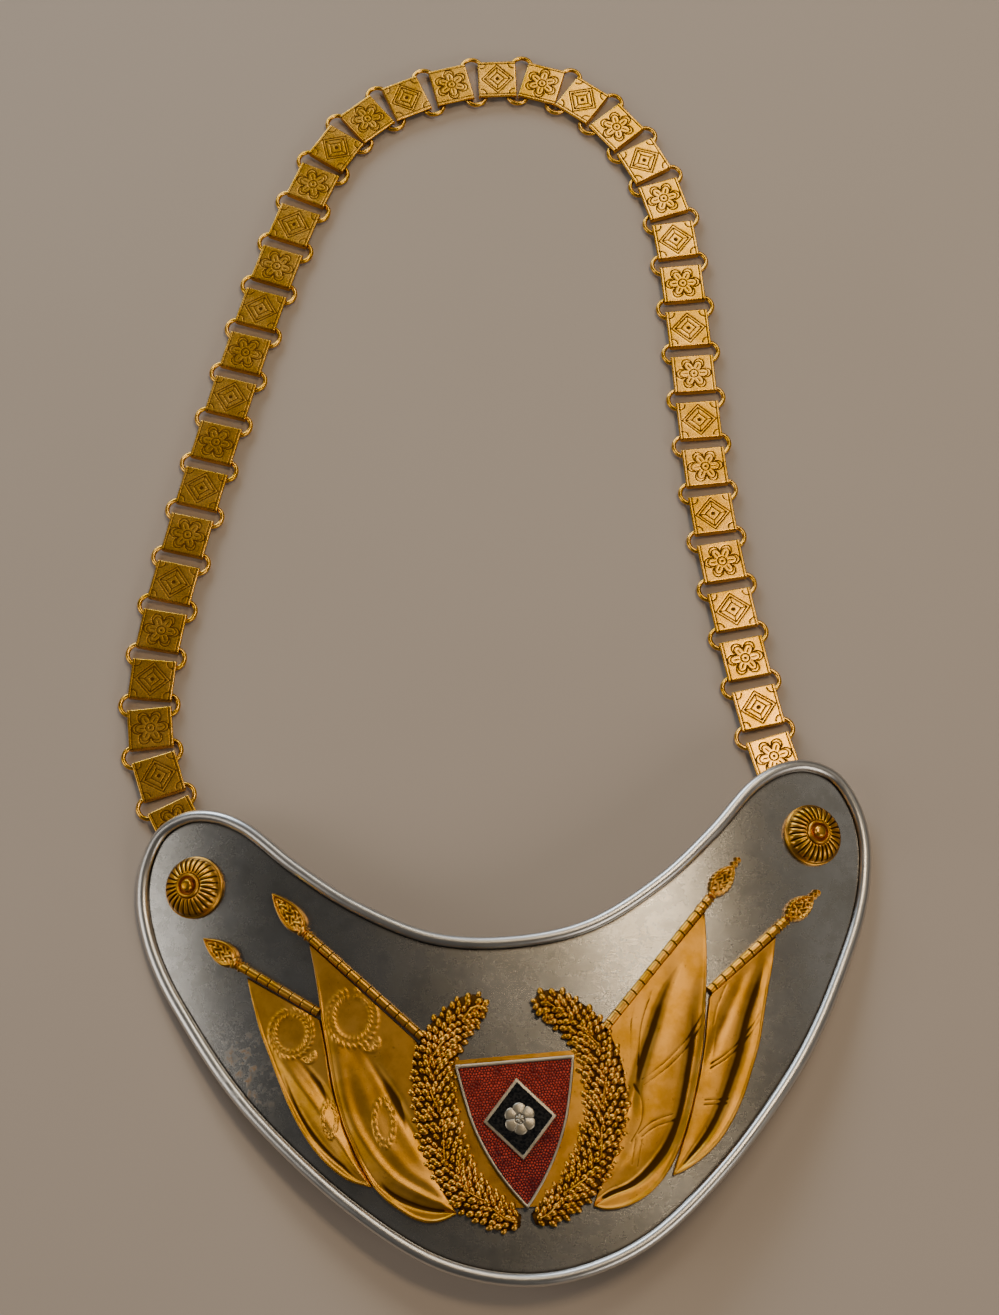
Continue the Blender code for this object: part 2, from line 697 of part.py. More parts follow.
def build_chain(gold, centres, dirs):
    """Box links whose folded ends hold the bars of oval rings: each link is brazed to the ring
    that follows it, and that ring's far bar lies free in the next link. Returns the two bars
    that the hooks hold."""
    inside = LINK_LENGTH / 2 - LINK_SHEET
    following = dirs[1:] + dirs[-1:]
    first = lay_ring("end_ring", centres[0], dirs[0], -1, gold)[1]
    for i, (end, along, after) in enumerate(zip(centres[1:], dirs, following)):
        turn = along.angle_signed(after) / 2
        place = link_place(end - along * ring_reach(turn), along)
        link, folded = build_link(f"link_{i + 1:02d}", place, gold)
        lean = 1 if i == LINKS - 1 else 0
        ahead = (along + after).normalized()
        ring, last = lay_ring("ring_helper", end, ahead, lean, gold)
        bar = inside - GAP - corner_slip(turn) - RING_WIRE / 2
        block = [[place @ Vector((x * RING_SEAT / 2, y, z)) for x, y in
                  ((-1, bar - RING_WIRE / 4), (1, bar - RING_WIRE / 4),
                   (1, inside + LINK_SHEET / 2), (-1, inside + LINK_SHEET / 2))]
                 for z in (LINK_SHEET / 2, BAR_LEVEL)]
        seat = add_object("seat_helper", *loft(block), gold)
        fuse(link, [folded, ring, seat])
    return first, last


def build_hook(name, bar, pad_place, material):
    """A plain wire hook: a pad under the plate and a shank that bends down round a ring's bar."""
    coil = (RING_WIRE + HOOK_WIRE) / 2 + GAP
    pad_low = pad_place @ Vector((0, 0, -HOOK_PAD_THICK / 2))
    away = Vector((pad_low.x - bar.x, pad_low.y - bar.y, 0)).normalized()
    up = Vector((0, 0, 1))
    path = [pad_low, pad_low.lerp(bar + up * coil, 0.5) - up * HOOK_WIRE / 6]
    for k in range(7):
        turn = math.pi * (0.5 + 1.35 * k / 6)
        path.append(bar + (away * math.cos(turn) + up * math.sin(turn)) * coil)
    rings = []
    for i, point in enumerate(path):
        along = (path[min(i + 1, len(path) - 1)] - path[max(i - 1, 0)]).normalized()
        side = away.cross(up).normalized()
        normal = side.cross(along)
        rings.append([point + (side * math.cos(a) + normal * math.sin(a)) * HOOK_WIRE / 2
                      for a in (2 * math.pi * k / WIRE_SIDES for k in range(WIRE_SIDES))])
    verts, faces = loft(rings)
    hook = add_object(name, verts, faces, material)
    disc = [[pad_place @ Vector((HOOK_PAD / 2 * math.cos(2 * math.pi * k / 12),
                                 HOOK_PAD / 2 * math.sin(2 * math.pi * k / 12), z))
             for k in range(12)] for z in (-HOOK_PAD_THICK, 0.0)]
    pad = add_object("pad_helper", *loft(disc), material)
    fuse(hook, [pad])


def settle(frame, plate):
    """Lean the plate's frame and lower it until its rim just touches the surface."""
    frame.rotation_euler = (math.radians(PLATE_LEAN), 0, 0)
    bpy.context.view_layer.update()
    lowest = min((frame.matrix_world @ v.co).z for v in plate.data.vertices)
    frame.location.z -= lowest
    bpy.context.view_layer.update()


def centre_model(root):
    """Put the middle of the model's underside at the origin."""
    bpy.context.view_layer.update()
    corners = [o.matrix_world @ v.co for o in bpy.data.objects if o.type == "MESH"
               for v in o.data.vertices]
    low = [min(c[i] for c in corners) for i in range(3)]
    high = [max(c[i] for c in corners) for i in range(3)]
    root.location = (-(low[0] + high[0]) / 2, -(low[1] + high[1]) / 2, -low[2])
    bpy.context.view_layer.update()


def main():
    clear_scene()
    nickel = make_material("satin_nickel_silver", (0.52, 0.54, 0.56), 0.32)
    gilt = make_material("gilt_brass", (0.72, 0.46, 0.12), 0.30)
    gold = make_material("gilt_chain", (0.80, 0.56, 0.18), 0.25)
    silver = make_material("tarnished_silver", (0.62, 0.58, 0.50), 0.35)
    red = make_material("red_enamel", (0.60, 0.03, 0.02), 0.18, 0.0)
    black = make_material("black_enamel", (0.01, 0.01, 0.015), 0.20, 0.0)
    iron = make_material("plain_hook_brass", (0.55, 0.40, 0.16), 0.45)

    root = bpy.data.objects.new("gorget", None)
    frame = bpy.data.objects.new("plate_frame", None)
    for empty in (root, frame):
        bpy.context.scene.collection.objects.link(empty)

    plate = build_breastplate(nickel, frame)
    settle(frame, plate)
    build_bosses(gilt, frame)
    build_flags(gilt, frame)
    build_staffs(gilt, frame)
    build_wreath(gilt, frame)
    build_shield(silver, red, black, frame)

    centres, dirs = fit_chain()
    first_bar, last_bar = build_chain(gold, centres, dirs)
    for word, side, bar in (("left", -1, first_bar), ("right", 1, last_bar)):
        x = side * BOSS_SPREAD / 2
        under = on_plate(x, -BOSS_DROP, -SEAT)
        turn = Vector((0, 0, 1)).rotation_difference(bend_normal(x)).to_matrix().to_4x4()
        pad_place = frame.matrix_world @ Matrix.Translation(under) @ turn
        build_hook(f"hook_{word}", bar, pad_place, iron)

    frame.parent = root
    for obj in bpy.data.objects:
        if obj.type == "MESH" and obj.parent is None:
            obj.parent = root
    centre_model(root)


if __name__ == "__main__":
    main()
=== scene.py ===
"""The looks of a parade gorget: satin plate with a rolled rim, gilt bosses and trophy, an
enamelled shield and the neck chain of box links.

The packed model is loaded as a fixed frame, and each piece here stands for the solid that it
replaces. The plate and what is fixed to it are worked out in the plate's own frame, in metres,
with the origin midway between the tops of its two tips, +Y up the plate and +Z off its face, and
are then leaned as the plate lies. Every piece is a surface worked out with numpy on a grid.
"""

import math

import bmesh  # noqa: E402
import bpy  # noqa: E402
import numpy as np  # noqa: E402
from bpy.props import (  # noqa: E402
    FloatProperty, FloatVectorProperty, IntProperty, PointerProperty)
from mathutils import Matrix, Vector  # noqa: E402


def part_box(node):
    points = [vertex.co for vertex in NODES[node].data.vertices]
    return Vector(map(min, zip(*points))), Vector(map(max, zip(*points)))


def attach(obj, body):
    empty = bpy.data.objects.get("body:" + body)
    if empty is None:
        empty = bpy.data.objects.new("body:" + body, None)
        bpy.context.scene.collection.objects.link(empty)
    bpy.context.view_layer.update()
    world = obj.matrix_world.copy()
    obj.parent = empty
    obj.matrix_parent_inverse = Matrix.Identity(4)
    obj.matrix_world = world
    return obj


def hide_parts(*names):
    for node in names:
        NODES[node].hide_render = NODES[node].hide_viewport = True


bl_info = {
    "name": "Parade Gorget",
    "version": (1, 0, 0),
    "blender": (4, 5, 0),
    "location": "3D View > Sidebar > Gorget",
    "description": "Dresses a packed parade gorget: plate, bosses, trophy, shield and neck chain",
    "category": "Object",
}

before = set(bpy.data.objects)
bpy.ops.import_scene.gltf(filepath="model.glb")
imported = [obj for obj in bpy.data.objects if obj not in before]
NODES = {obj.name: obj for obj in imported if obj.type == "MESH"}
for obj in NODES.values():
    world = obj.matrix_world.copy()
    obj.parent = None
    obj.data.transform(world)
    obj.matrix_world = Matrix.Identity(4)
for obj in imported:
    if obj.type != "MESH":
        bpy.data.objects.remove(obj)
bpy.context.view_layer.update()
PLATE_LOW, PLATE_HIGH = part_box("breastplate")
LINK_COUNT = sum(name.startswith("link_") for name in NODES)

# The plate's frame: up the plate past the top of its solid's box, and above the box's bottom.
PAST_TOP, ABOVE_LOW = 0.00035, 0.00229

# How far most castings reach below their seat, in metres.
SUNK = 0.0004

# Half width of the lines that are engraved on the links, in metres.
LINE_WIDTH = 0.00020

# Half of the plate's outline, from the middle of the notch round the tip to the lowest point.
PLATE_OUTLINE = [
    # across: share of half the width, down: share of the height
    (0.000, 0.325), (0.200, 0.305), (0.400, 0.226), (0.550, 0.135), (0.680, 0.041),
    (0.770, 0.006), (0.850, 0.000), (0.930, 0.026), (0.982, 0.089), (1.000, 0.166),
    (0.985, 0.257), (0.950, 0.339), (0.900, 0.418), (0.800, 0.552), (0.700, 0.657),
    (0.500, 0.819), (0.300, 0.937), (0.150, 0.984), (0.000, 1.000),
]

# A boss's turned profile, from the rim of its underside in over the dome to the top of the knob.
BOSS_PROFILE = [
    # radius: share of the boss's radius, height: share of its height
    (1.00, 0.00), (1.00, 0.06), (0.990, 0.10), (0.970, 0.115), (0.955, 0.15), (0.935, 0.19),
    (0.915, 0.29), (0.87, 0.41), (0.80, 0.51), (0.71, 0.595), (0.61, 0.66), (0.50, 0.705),
    (0.44, 0.715), (0.405, 0.70), (0.39, 0.76), (0.36, 0.81), (0.32, 0.81), (0.29, 0.75),
    (0.265, 0.67), (0.240, 0.64), (0.22, 0.67), (0.212, 0.79), (0.195, 0.89), (0.15, 0.965),
    (0.08, 0.995), (0.00, 1.00),
]

# The four flags, by the points of their outer and inner edges from the staff to the hem.
FLAG_EDGES = {
    # millimetres across and down in the plate's frame
    "outer_left": (
        [(-70.4, -47.2), (-69.3, -54.0), (-67.8, -61.7), (-65.7, -68.7), (-63.6, -75.7),
         (-61.5, -82.0), (-58.8, -88.3), (-55.5, -94.1), (-51.5, -99.0), (-46.9, -102.7),
         (-41.6, -104.7)],
        [(-51.8, -60.6), (-51.2, -64.8), (-50.6, -70.4), (-50.2, -75.3), (-49.7, -79.6),
         (-48.7, -84.0), (-47.7, -88.9), (-46.3, -93.0), (-44.9, -97.0), (-43.0, -101.3),
         (-41.4, -104.3)]),
    "inner_left": (
        [(-53.4, -40.0), (-52.4, -47.9), (-51.8, -54.8), (-51.4, -61.0), (-50.7, -67.3),
         (-50.1, -73.5), (-49.5, -79.0), (-48.6, -84.0), (-47.5, -88.9), (-46.2, -92.8),
         (-44.7, -97.0), (-42.8, -101.3), (-40.8, -105.0), (-38.0, -108.4), (-34.7, -111.3),
         (-31.4, -113.6), (-27.6, -114.9), (-24.2, -114.7), (-20.6, -113.4)],
        [(-26.7, -69.2), (-28.1, -73.5), (-28.5, -77.2), (-28.6, -80.8), (-28.6, -84.5),
         (-28.4, -89.1), (-27.6, -93.7), (-26.3, -98.3), (-24.9, -103.0), (-23.4, -107.1),
         (-21.6, -110.4), (-20.3, -113.0)]),
    "inner_right": (
        [(51.3, -40.6), (50.6, -51.7), (49.2, -62.8), (47.6, -73.1), (45.4, -82.0),
         (43.3, -88.9), (41.0, -95.1), (38.2, -101.4), (34.9, -106.7), (31.2, -110.8),
         (26.4, -113.9), (21.7, -115.4), (17.2, -115.5), (14.8, -114.6)],
        [(22.3, -70.3), (23.5, -74.0), (24.7, -77.9), (25.3, -82.5), (25.2, -86.9),
         (24.5, -91.3), (23.3, -95.6), (21.9, -99.9), (19.7, -104.1), (17.4, -108.2),
         (15.3, -112.2), (14.5, -114.2)]),
    "outer_right": (
        [(69.7, -48.4), (68.1, -55.2), (66.3, -61.1), (64.4, -67.6), (62.0, -76.0),
         (59.2, -82.9), (56.1, -89.8), (52.4, -95.9), (48.5, -100.7), (43.5, -104.8),
         (38.0, -107.7), (35.6, -108.4)],
        [(50.0, -63.2), (48.6, -69.2), (47.6, -74.4), (46.0, -80.7), (44.4, -85.8),
         (42.7, -90.7), (41.1, -95.1), (39.0, -100.0), (36.8, -104.9), (35.5, -108.0)]),
}

# The broad folds of each flag.
FLAG_FOLDS = {
    # height as a share of the fold's, width as a share of the flag's, then the line that the
    # fold follows: share down the flag, share across from its outer edge
    "outer_left": [
        (0.75, 0.18, [(0.31, 0.24), (0.43, 0.42), (0.52, 0.56), (0.62, 0.68), (0.75, 0.78),
                      (0.90, 0.82)]),
        (-0.62, 0.11, [(0.30, 0.58), (0.42, 0.83), (0.51, 0.93), (0.60, 1.02)]),
        (-0.55, 0.08, [(0.35, 0.09), (0.51, 0.12), (0.63, 0.19), (0.74, 0.29), (0.84, 0.42)])],
    "inner_left": [
        (0.36, 0.14, [(0.26, 0.18), (0.33, 0.30), (0.41, 0.38), (0.49, 0.43), (0.61, 0.51),
                      (0.70, 0.62), (0.81, 0.84), (0.92, 0.95)]),
        (0.66, 0.11, [(0.24, 0.12), (0.36, 0.13), (0.49, 0.14), (0.60, 0.21), (0.70, 0.33),
                      (0.80, 0.54), (0.90, 0.76)]),
        (-0.62, 0.10, [(0.25, 0.53), (0.28, 0.59), (0.34, 0.71), (0.41, 0.80), (0.48, 0.88),
                       (0.56, 0.95), (0.66, 1.00)]),
        (-0.60, 0.08, [(0.62, 0.02), (0.70, 0.07), (0.76, 0.14), (0.82, 0.26), (0.89, 0.45),
                       (0.97, 0.68)])],
    "inner_right": [
        (-0.64, 0.085, [(0.07, 0.36), (0.12, 0.51), (0.19, 0.64), (0.27, 0.77), (0.35, 0.86),
                        (0.42, 0.90)]),
        (-0.72, 0.095, [(0.22, 0.08), (0.38, 0.13), (0.47, 0.14), (0.56, 0.14), (0.64, 0.18),
                        (0.72, 0.27), (0.82, 0.42), (0.90, 0.66), (0.98, 0.80)]),
        (0.40, 0.24, [(0.16, 0.30), (0.34, 0.52), (0.50, 0.58), (0.66, 0.62), (0.80, 0.85)])],
    "outer_right": [
        (-0.38, 0.13, [(0.05, 0.50), (0.17, 0.68), (0.28, 0.82), (0.38, 0.91)]),
        (-0.64, 0.11, [(0.06, 0.16), (0.16, 0.22), (0.31, 0.32), (0.44, 0.34), (0.57, 0.38),
                       (0.72, 0.42), (0.88, 0.51)]),
        (0.30, 0.18, [(0.25, 0.04), (0.50, 0.05), (0.70, 0.08), (0.90, 0.16)])],
}

# Fine engraved lines on the right flags.
ENGRAVED = {
    # millimetres across and down in the plate's frame
    "inner_right": [
        [(32.1, -59.0), (28.9, -67.8), (27.4, -79.3)], [(34.8, -61.1), (31.3, -69.3),
                                                         (29.3, -79.5)],
        [(48.4, -66.6), (43.8, -72.8), (36.5, -79.4), (30.2, -83.4)],
        [(48.6, -68.6), (43.2, -75.4), (36.9, -80.9), (30.4, -84.9)],
        [(36.9, -92.9), (31.6, -94.4), (27.5, -97.2)], [(37.4, -94.4), (31.9, -95.9),
                                                         (28.3, -98.1)],
        [(27.8, -84.5), (29.4, -88.6), (28.6, -94.4), (25.6, -99.0)],
        [(26.8, -98.5), (25.2, -104.8)], [(28.3, -98.9), (26.6, -105.4)]],
    "outer_right": [
        [(63.7, -67.6), (58.3, -73.8), (52.4, -78.6), (48.3, -80.8)],
        [(63.3, -69.6), (58.0, -75.4), (52.2, -79.9), (48.0, -82.0)],
        [(54.8, -60.5), (51.6, -66.2), (50.2, -70.6)], [(51.7, -90.1), (45.8, -90.0)],
        [(51.3, -91.2), (45.5, -91.2)]],
}

# Small raised rings of leaves on the left flags.
LEAF_RINGS = {
    # middle across and down, half sizes across and down in millimetres, height as a share of
    # the fold's, leaves in each row
    "outer_left": [(-59.4, -63.2, 4.9, 5.5, 0.22, 24), (-50.9, -86.6, 1.7, 4.2, 0.20, 12)],
    "inner_left": [(-43.3, -60.9, 5.6, 6.4, 0.22, 28), (-37.0, -88.6, 2.4, 5.4, 0.20, 16)],
}

# A ribbon fan below each of the larger rings.
RIBBON_FANS = {
    # middle across and down, radius in millimetres
    "outer_left": (-55.3, -69.6, 1.9),
    "inner_left": (-39.0, -68.0, 2.3),
}

# The staffs, by their lower end and the foot and point of their finial.
STAFFS = {
    # millimetres across and down in the plate's frame
    "outer_left": ((-51.9, -58.7), (-72.0, -44.0), (-81.6, -35.1)),
    "inner_left": ((-25.6, -67.7), (-53.6, -38.0), (-62.4, -25.4)),
    "inner_right": ((21.9, -69.5), (52.6, -37.6), (62.5, -26.4)),
    "outer_right": ((50.1, -61.8), (72.5, -44.5), (83.5, -36.3)),
}

# The wreath's two branches, from the free end round to the foot.
BRANCHES = {
    # middle of the roll across and down, half its width, in millimetres
    "left": [(-8.3, -62.2, 1.9), (-11.8, -61.6, 4.1), (-16.5, -64.7, 4.7), (-20.8, -69.6, 5.3),
             (-23.3, -76.1, 5.5), (-23.8, -83.5, 5.7), (-23.3, -90.4, 5.7), (-22.0, -97.4, 5.6),
             (-19.6, -103.9, 5.3), (-15.7, -109.4, 4.9), (-10.7, -113.7, 4.2),
             (-6.2, -116.0, 2.8), (-4.3, -116.4, 1.6)],
    "right": [(4.1, -62.6, 1.9), (7.6, -62.2, 4.1), (12.3, -65.0, 4.6), (16.7, -69.9, 5.2),
              (19.3, -76.3, 5.4), (20.2, -83.0, 5.6), (20.2, -89.5, 5.8), (18.5, -96.1, 5.7),
              (16.1, -101.9, 5.5), (12.4, -107.3, 5.2), (7.4, -111.8, 4.3), (2.6, -115.1, 3.2),
              (-1.0, -116.2, 1.6)],
}

# The heater shield's half outline, from the top corner to the point.
SHIELD_OUTLINE = [
    # across: share of half the width, down: share of the height
    (1.00, 0.00), (0.94, 0.14), (0.88, 0.26), (0.80, 0.40), (0.68, 0.54), (0.51, 0.69),
    (0.29, 0.84), (0.00, 1.00),
]


def a_length(name, description, default):
    """A size in metres."""
    return FloatProperty(name=name, description=description, default=default, precision=5,
                         unit="LENGTH")


def a_colour(name, description, default):
    """The colour that a finish starts from."""
    return FloatVectorProperty(name=name, description=description, default=default,
                               subtype="COLOR", min=0, max=1)


def a_place(name, description, default):
    """A place in metres."""
    return FloatVectorProperty(name=name, description=description, default=default,
                               subtype="XYZ", unit="LENGTH")


class PlateSizes(bpy.types.PropertyGroup):
    """The sheet, its bend and its rolled rim."""

    width: a_length("Width", "Side to side, over the rim", 0.200)
    height: a_length("Height", "Top of the tips to the lowest point", 0.133)
    sheet: a_length("Sheet", "Thickness of the sheet", 0.0010)
    rise: a_length("Rise", "How far the middle stands above the sides", 0.018)
    power: FloatProperty(name="Bend Power", description="How late the bend sets in", default=2.4)
    lean: FloatProperty(name="Lean", description="How the plate leans as it lies",
                        default=math.radians(4.0), subtype="ANGLE")
    bead: a_length("Bead Radius", "Radius of the rolled rim", 0.0017)
    bead_rise: a_length("Bead Rise", "Rim's middle above the sheet's middle", 0.00055)
    seat: a_length("Seat", "Level at which the castings are seated", 0.0008)


class TrophySizes(bpy.types.PropertyGroup):
    """The bosses, flags, staffs and wreath."""

    boss_spread: a_length("Boss Spread", "Between the bosses' middles", 0.167)
    boss_drop: a_length("Boss Drop", "Bosses below the tops of the tips", 0.0211)
    boss_diameter: a_length("Boss Diameter", "Over the flange", 0.0168)
    boss_height: a_length("Boss Height", "Flange to the knob's top", 0.0058)
    flutes: IntProperty(name="Petals", description="Petals round a boss", default=26)
    base: a_length("Casting", "Thickness of the cloth of a flag", 0.0010)
    fold: a_length("Fold", "Height of a flag's broadest folds", 0.0012)
    staff: a_length("Staff", "Diameter of a staff", 0.0024)
    rib: a_length("Rib Pitch", "Between the staffs' cross notches", 0.0034)
    finial: a_length("Finial Width", "Across a spear head", 0.0072)
    wreath: a_length("Wreath", "Height of the wreath's leaves", 0.0028)


class ShieldSizes(bpy.types.PropertyGroup):
    """The heater shield and what lies on it."""

    offset: a_length("Offset", "Middle, across from the plate's middle", -0.0023)
    drop: a_length("Drop", "Top edge below the tops of the tips", 0.0759)
    width: a_length("Width", "Across the top", 0.0310)
    height: a_length("Height", "Top edge to the point", 0.0378)
    thick: a_length("Thickness", "Of the silver tray", 0.0021)
    rim: a_length("Rim", "Width of the silver rim", 0.0006)
    charge_width: a_length("Charge Width", "Across the lozenge", 0.0190)
    charge_height: a_length("Charge Height", "Height of the lozenge", 0.0210)
    pebble: a_length("Pebble", "Pitch of the enamel's pebbles", 0.00078)


class ChainSizes(bpy.types.PropertyGroup):
    """The box links and the oval rings."""

    length: a_length("Link Length", "Along the chain", 0.0116)
    width: a_length("Link Width", "Across the chain", 0.0124)
    height: a_length("Link Height", "Surface to the link's face", 0.0030)
    top: a_length("Face", "Thickness of the face plate", 0.0007)
    sheet: a_length("Sheet", "Thickness of the folded strip", 0.0004)
    strip: a_length("Strip", "Width of the folded strip", 0.0060)
    lip: a_length("Lip", "How far the strip folds under", 0.0034)
    ring_width: a_length("Ring Width", "Across the chain", 0.0175)
    ring_length: a_length("Ring Length", "Along the chain", 0.0074)
    wire: a_length("Wire", "Diameter of the rings' wire", 0.0013)
    gap: a_length("Gap", "Room between a ring and its link", 0.0003)
    end_lift: a_length("End Lift", "How far the hooks lift the end rings", 0.00155)


class FinishColours(bpy.types.PropertyGroup):
    """The colours of the finishes."""

    plate: a_colour("Plate", "Satin nickel silver", (0.43, 0.43, 0.42))
    gilt: a_colour("Gilt", "Gilding on the castings", (0.72, 0.37, 0.060))
    # The gilt's hollow colour stands both for brown patina and for painted shade in the recesses.
    gilt_deep: a_colour("Gilt Hollows", "Brown in the hollows", (0.085, 0.036, 0.005))
    chain: a_colour("Chain", "Gilding on the chain", (0.90, 0.49, 0.075))
    silver: a_colour("Silver", "Tarnished silver of the shield", (0.55, 0.50, 0.40))
    red: a_colour("Red", "Enamel", (0.118, 0.0033, 0.0038))
    floor: a_colour("Floor", "Plain pale floor", (0.435, 0.368, 0.312))


class StageSizes(bpy.types.PropertyGroup):
    """The camera."""

    lens: FloatProperty(name="Lens", description="Focal length in millimetres", default=66.4)
    eye: a_place("Eye", "The camera's place", (-0.0148, -0.2443, 0.6425))
    target: a_place("Target", "What the camera looks at", (0.0056, -0.0114, 0.0))


GROUPS = {
    "gorget_plate": PlateSizes, "gorget_trophy": TrophySizes, "gorget_shield": ShieldSizes,
    "gorget_chain": ChainSizes, "gorget_finish": FinishColours, "gorget_stage": StageSizes,
}


def sizes(name):
    """One property group of the scene."""
    return getattr(bpy.context.scene, "gorget_" + name)


# Curves and grids.


def curve_through(points, steps, closed=False):
    """A centripetal Catmull-Rom curve: each span blends its four neighbours by the square roots
    of the distances between them."""
    pts = np.asarray(points, float)
    if closed:
        pts = np.vstack([pts[-1:], pts, pts[:2]])
    else:
        pts = np.vstack([2 * pts[0] - pts[1], pts, 2 * pts[-1] - pts[-2]])
    a, b, c, d = (pts[i:len(pts) - 3 + i][:, None] for i in range(4))
    gaps = [np.sqrt(np.linalg.norm(q - p, axis=-1, keepdims=True))
            for p, q in ((a, b), (b, c), (c, d))]
    t1 = gaps[0]
    t2 = t1 + gaps[1]
    t3 = t2 + gaps[2]
    t = t1 + gaps[1] * (np.arange(steps) / steps)[None, :, None]
    a1, a2, a3 = a + (b - a) * t / t1, b + (c - b) * (t - t1) / (t2 - t1), c + (d - c) * (
        t - t2) / (t3 - t2)
    b1, b2 = a1 + (a2 - a1) * t / t2, a2 + (a3 - a2) * (t - t1) / (t3 - t1)
    curve = (b1 + (b2 - b1) * (t - t1) / (t2 - t1)).reshape(-1, pts.shape[1])
    return curve if closed else np.vstack([curve, pts[-2:-1]])


def at_shares(curve, shares):
    """The points at given shares of a curve's plan length."""
    steps = np.linalg.norm(np.diff(curve[:, :2], axis=0), axis=1)
    run = np.concatenate([[0], np.cumsum(steps)])
    return np.stack([np.interp(np.asarray(shares) * run[-1], run, column)
                     for column in curve.T], -1)


def evenly(curve, count):
    """The points that divide a curve into count equal lengths."""
    return at_shares(curve, np.linspace(0, 1, count + 1))


def heading(curve, closed=False):
    """Unit directions along a plan curve, from each point's two neighbours."""
    if closed:
        step = np.roll(curve, -1, 0) - np.roll(curve, 1, 0)
    else:
        step = np.gradient(curve, axis=0)
    return step / np.linalg.norm(step, axis=-1, keepdims=True)


def right_of(way):
    """The plan directions a quarter turn clockwise of some directions."""
    return np.stack([way[..., 1], -way[..., 0]], -1)


def at_level(plan, level):
    """Plan points with their levels."""
    return np.concatenate([plan, np.broadcast_to(level, plan.shape[:-1])[..., None]], -1)


def turns(count):
    """Angles that divide a full turn evenly, from 0."""
    return np.linspace(0, 2 * math.pi, count, endpoint=False)


def smooth_step(x, low, high):
    """0 below low and 1 above high, with a soft turn at both."""
    t = np.clip((x - low) / (high - low), 0, 1)
    return t * t * (3 - 2 * t)


def bump(x, middle, width):
    """A bell of height 1."""
    return np.exp(-((x - middle) / width) ** 2)


def hollows(height, reach, depth):
    """How far each point of a height grid lies below the average of its surroundings."""
    soft = np.pad(height, reach, mode="edge")
    for _ in range(2):
        for axis in (0, 1):
            total = np.cumsum(soft, axis=axis)
            ahead = np.roll(total, -reach, axis=axis)
            behind = np.roll(total, reach, axis=axis)
            soft = (ahead - behind) / (2 * reach)
    soft = soft[reach:-reach, reach:-reach]
    return np.clip(0.35 + (soft - height) / depth, 0, 1)


def grid_patch(points, wrap_rows=False, wrap_cols=False, **marks):
    """The points and four-sided faces of a grid, joined to itself where it wraps. A mark is a
    value for each point that a material reads."""
    rows, cols = points.shape[:2]
    r = np.arange(rows if wrap_rows else rows - 1)[:, None]
    c = np.arange(cols if wrap_cols else cols - 1)[None, :]
    r1, c1 = (r + 1) % rows, (c + 1) % cols
    quads = np.stack(np.broadcast_arrays(r * cols + c, r * cols + c1, r1 * cols + c1,
                                         r1 * cols + c), -1).reshape(-1, 4)
    marks = {k: np.broadcast_to(v, (rows, cols)).ravel() for k, v in marks.items()}
    return points.reshape(-1, 3), quads, marks


def slab_patch(top, under, **marks):
    """A closed slab between two grids of points: its rows run over the top and back below, and
    the first and last rows are filled."""
    rows, cols = top.shape[:2]
    loop = np.concatenate([top, under[:, ::-1]], axis=1)
    marks = {k: np.broadcast_to(v, (rows, cols)) for k, v in marks.items()}
    marks = {k: np.concatenate([v, v[:, ::-1]], axis=1) for k, v in marks.items()}
    points, quads, marks = grid_patch(loop, wrap_cols=True, **marks)
    c = np.arange(cols - 1)
    cap = np.stack([c, 2 * cols - 1 - c, 2 * cols - 2 - c, c + 1], -1)
    last = (rows - 1) * 2 * cols + cap[:, ::-1]
    return points, np.vstack([quads, cap, last]), marks


def with_hubs(rings, first, last):
    """Rings of points with the end ones drawn in to a point each."""
    hubs = [np.broadcast_to(hub, (1, *rings.shape[1:])) for hub in (first, last)]
    return np.concatenate([hubs[0], rings, hubs[1]])


def round_over(share):
    """The height of a quarter circle over a share of its radius, 1 beyond it."""
    return np.sqrt(np.clip(1 - (1 - np.clip(share, 0, 1)) ** 2, 0, 1))


def add_piece(name, patches, look, nodes=(), sharp=45.0):
    """One mesh object from patches. Points that fall together are merged, faces are turned
    outwards, and the piece rides on the root body in place of the solids that it stands for."""
    names = sorted({k for _, _, marks in patches for k in marks})
    starts = np.cumsum([0] + [len(p) for p, _, _ in patches])
    points = np.vstack([p for p, _, _ in patches])
    quads = np.vstack([q + s for (_, q, _), s in zip(patches, starts)])
    mesh = bpy.data.meshes.new(name)
    mesh.vertices.add(len(points))
    mesh.vertices.foreach_set("co", points.astype(np.float32).ravel())
    mesh.loops.add(quads.size)
    mesh.loops.foreach_set("vertex_index", quads.astype(np.int32).ravel())
    mesh.polygons.add(len(quads))
    mesh.polygons.foreach_set("loop_start", np.arange(len(quads), dtype=np.int32) * 4)
    mesh.update(calc_edges=True)
    for key in names:
        values = np.concatenate([np.asarray(m.get(key, np.zeros(len(p))), np.float32)
                                 for p, _, m in patches])
        mesh.attributes.new(key, "FLOAT", "POINT").data.foreach_set("value", values)
    bm = bmesh.new()
    bm.from_mesh(mesh)
    bmesh.ops.remove_doubles(bm, verts=bm.verts, dist=2e-7)
    bmesh.ops.recalc_face_normals(bm, faces=bm.faces)
    bm.to_mesh(mesh)
    bm.free()
    mesh.shade_smooth()
    mesh.set_sharp_from_angle(angle=math.radians(sharp))
    mesh.materials.append(finish(look))
    piece = bpy.data.objects.new(name, mesh)
    bpy.context.scene.collection.objects.link(piece)
    if nodes:
        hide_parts(*nodes)
    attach(piece, "root")
    return piece


# The plate's frame.


def bend(x):
    """Height of the sheet's middle: the rise, less its share by a power of the place across."""
    s = sizes("plate")
    return s.rise * (1 - np.minimum(1, np.abs(x) / (s.width / 2)) ** s.power)


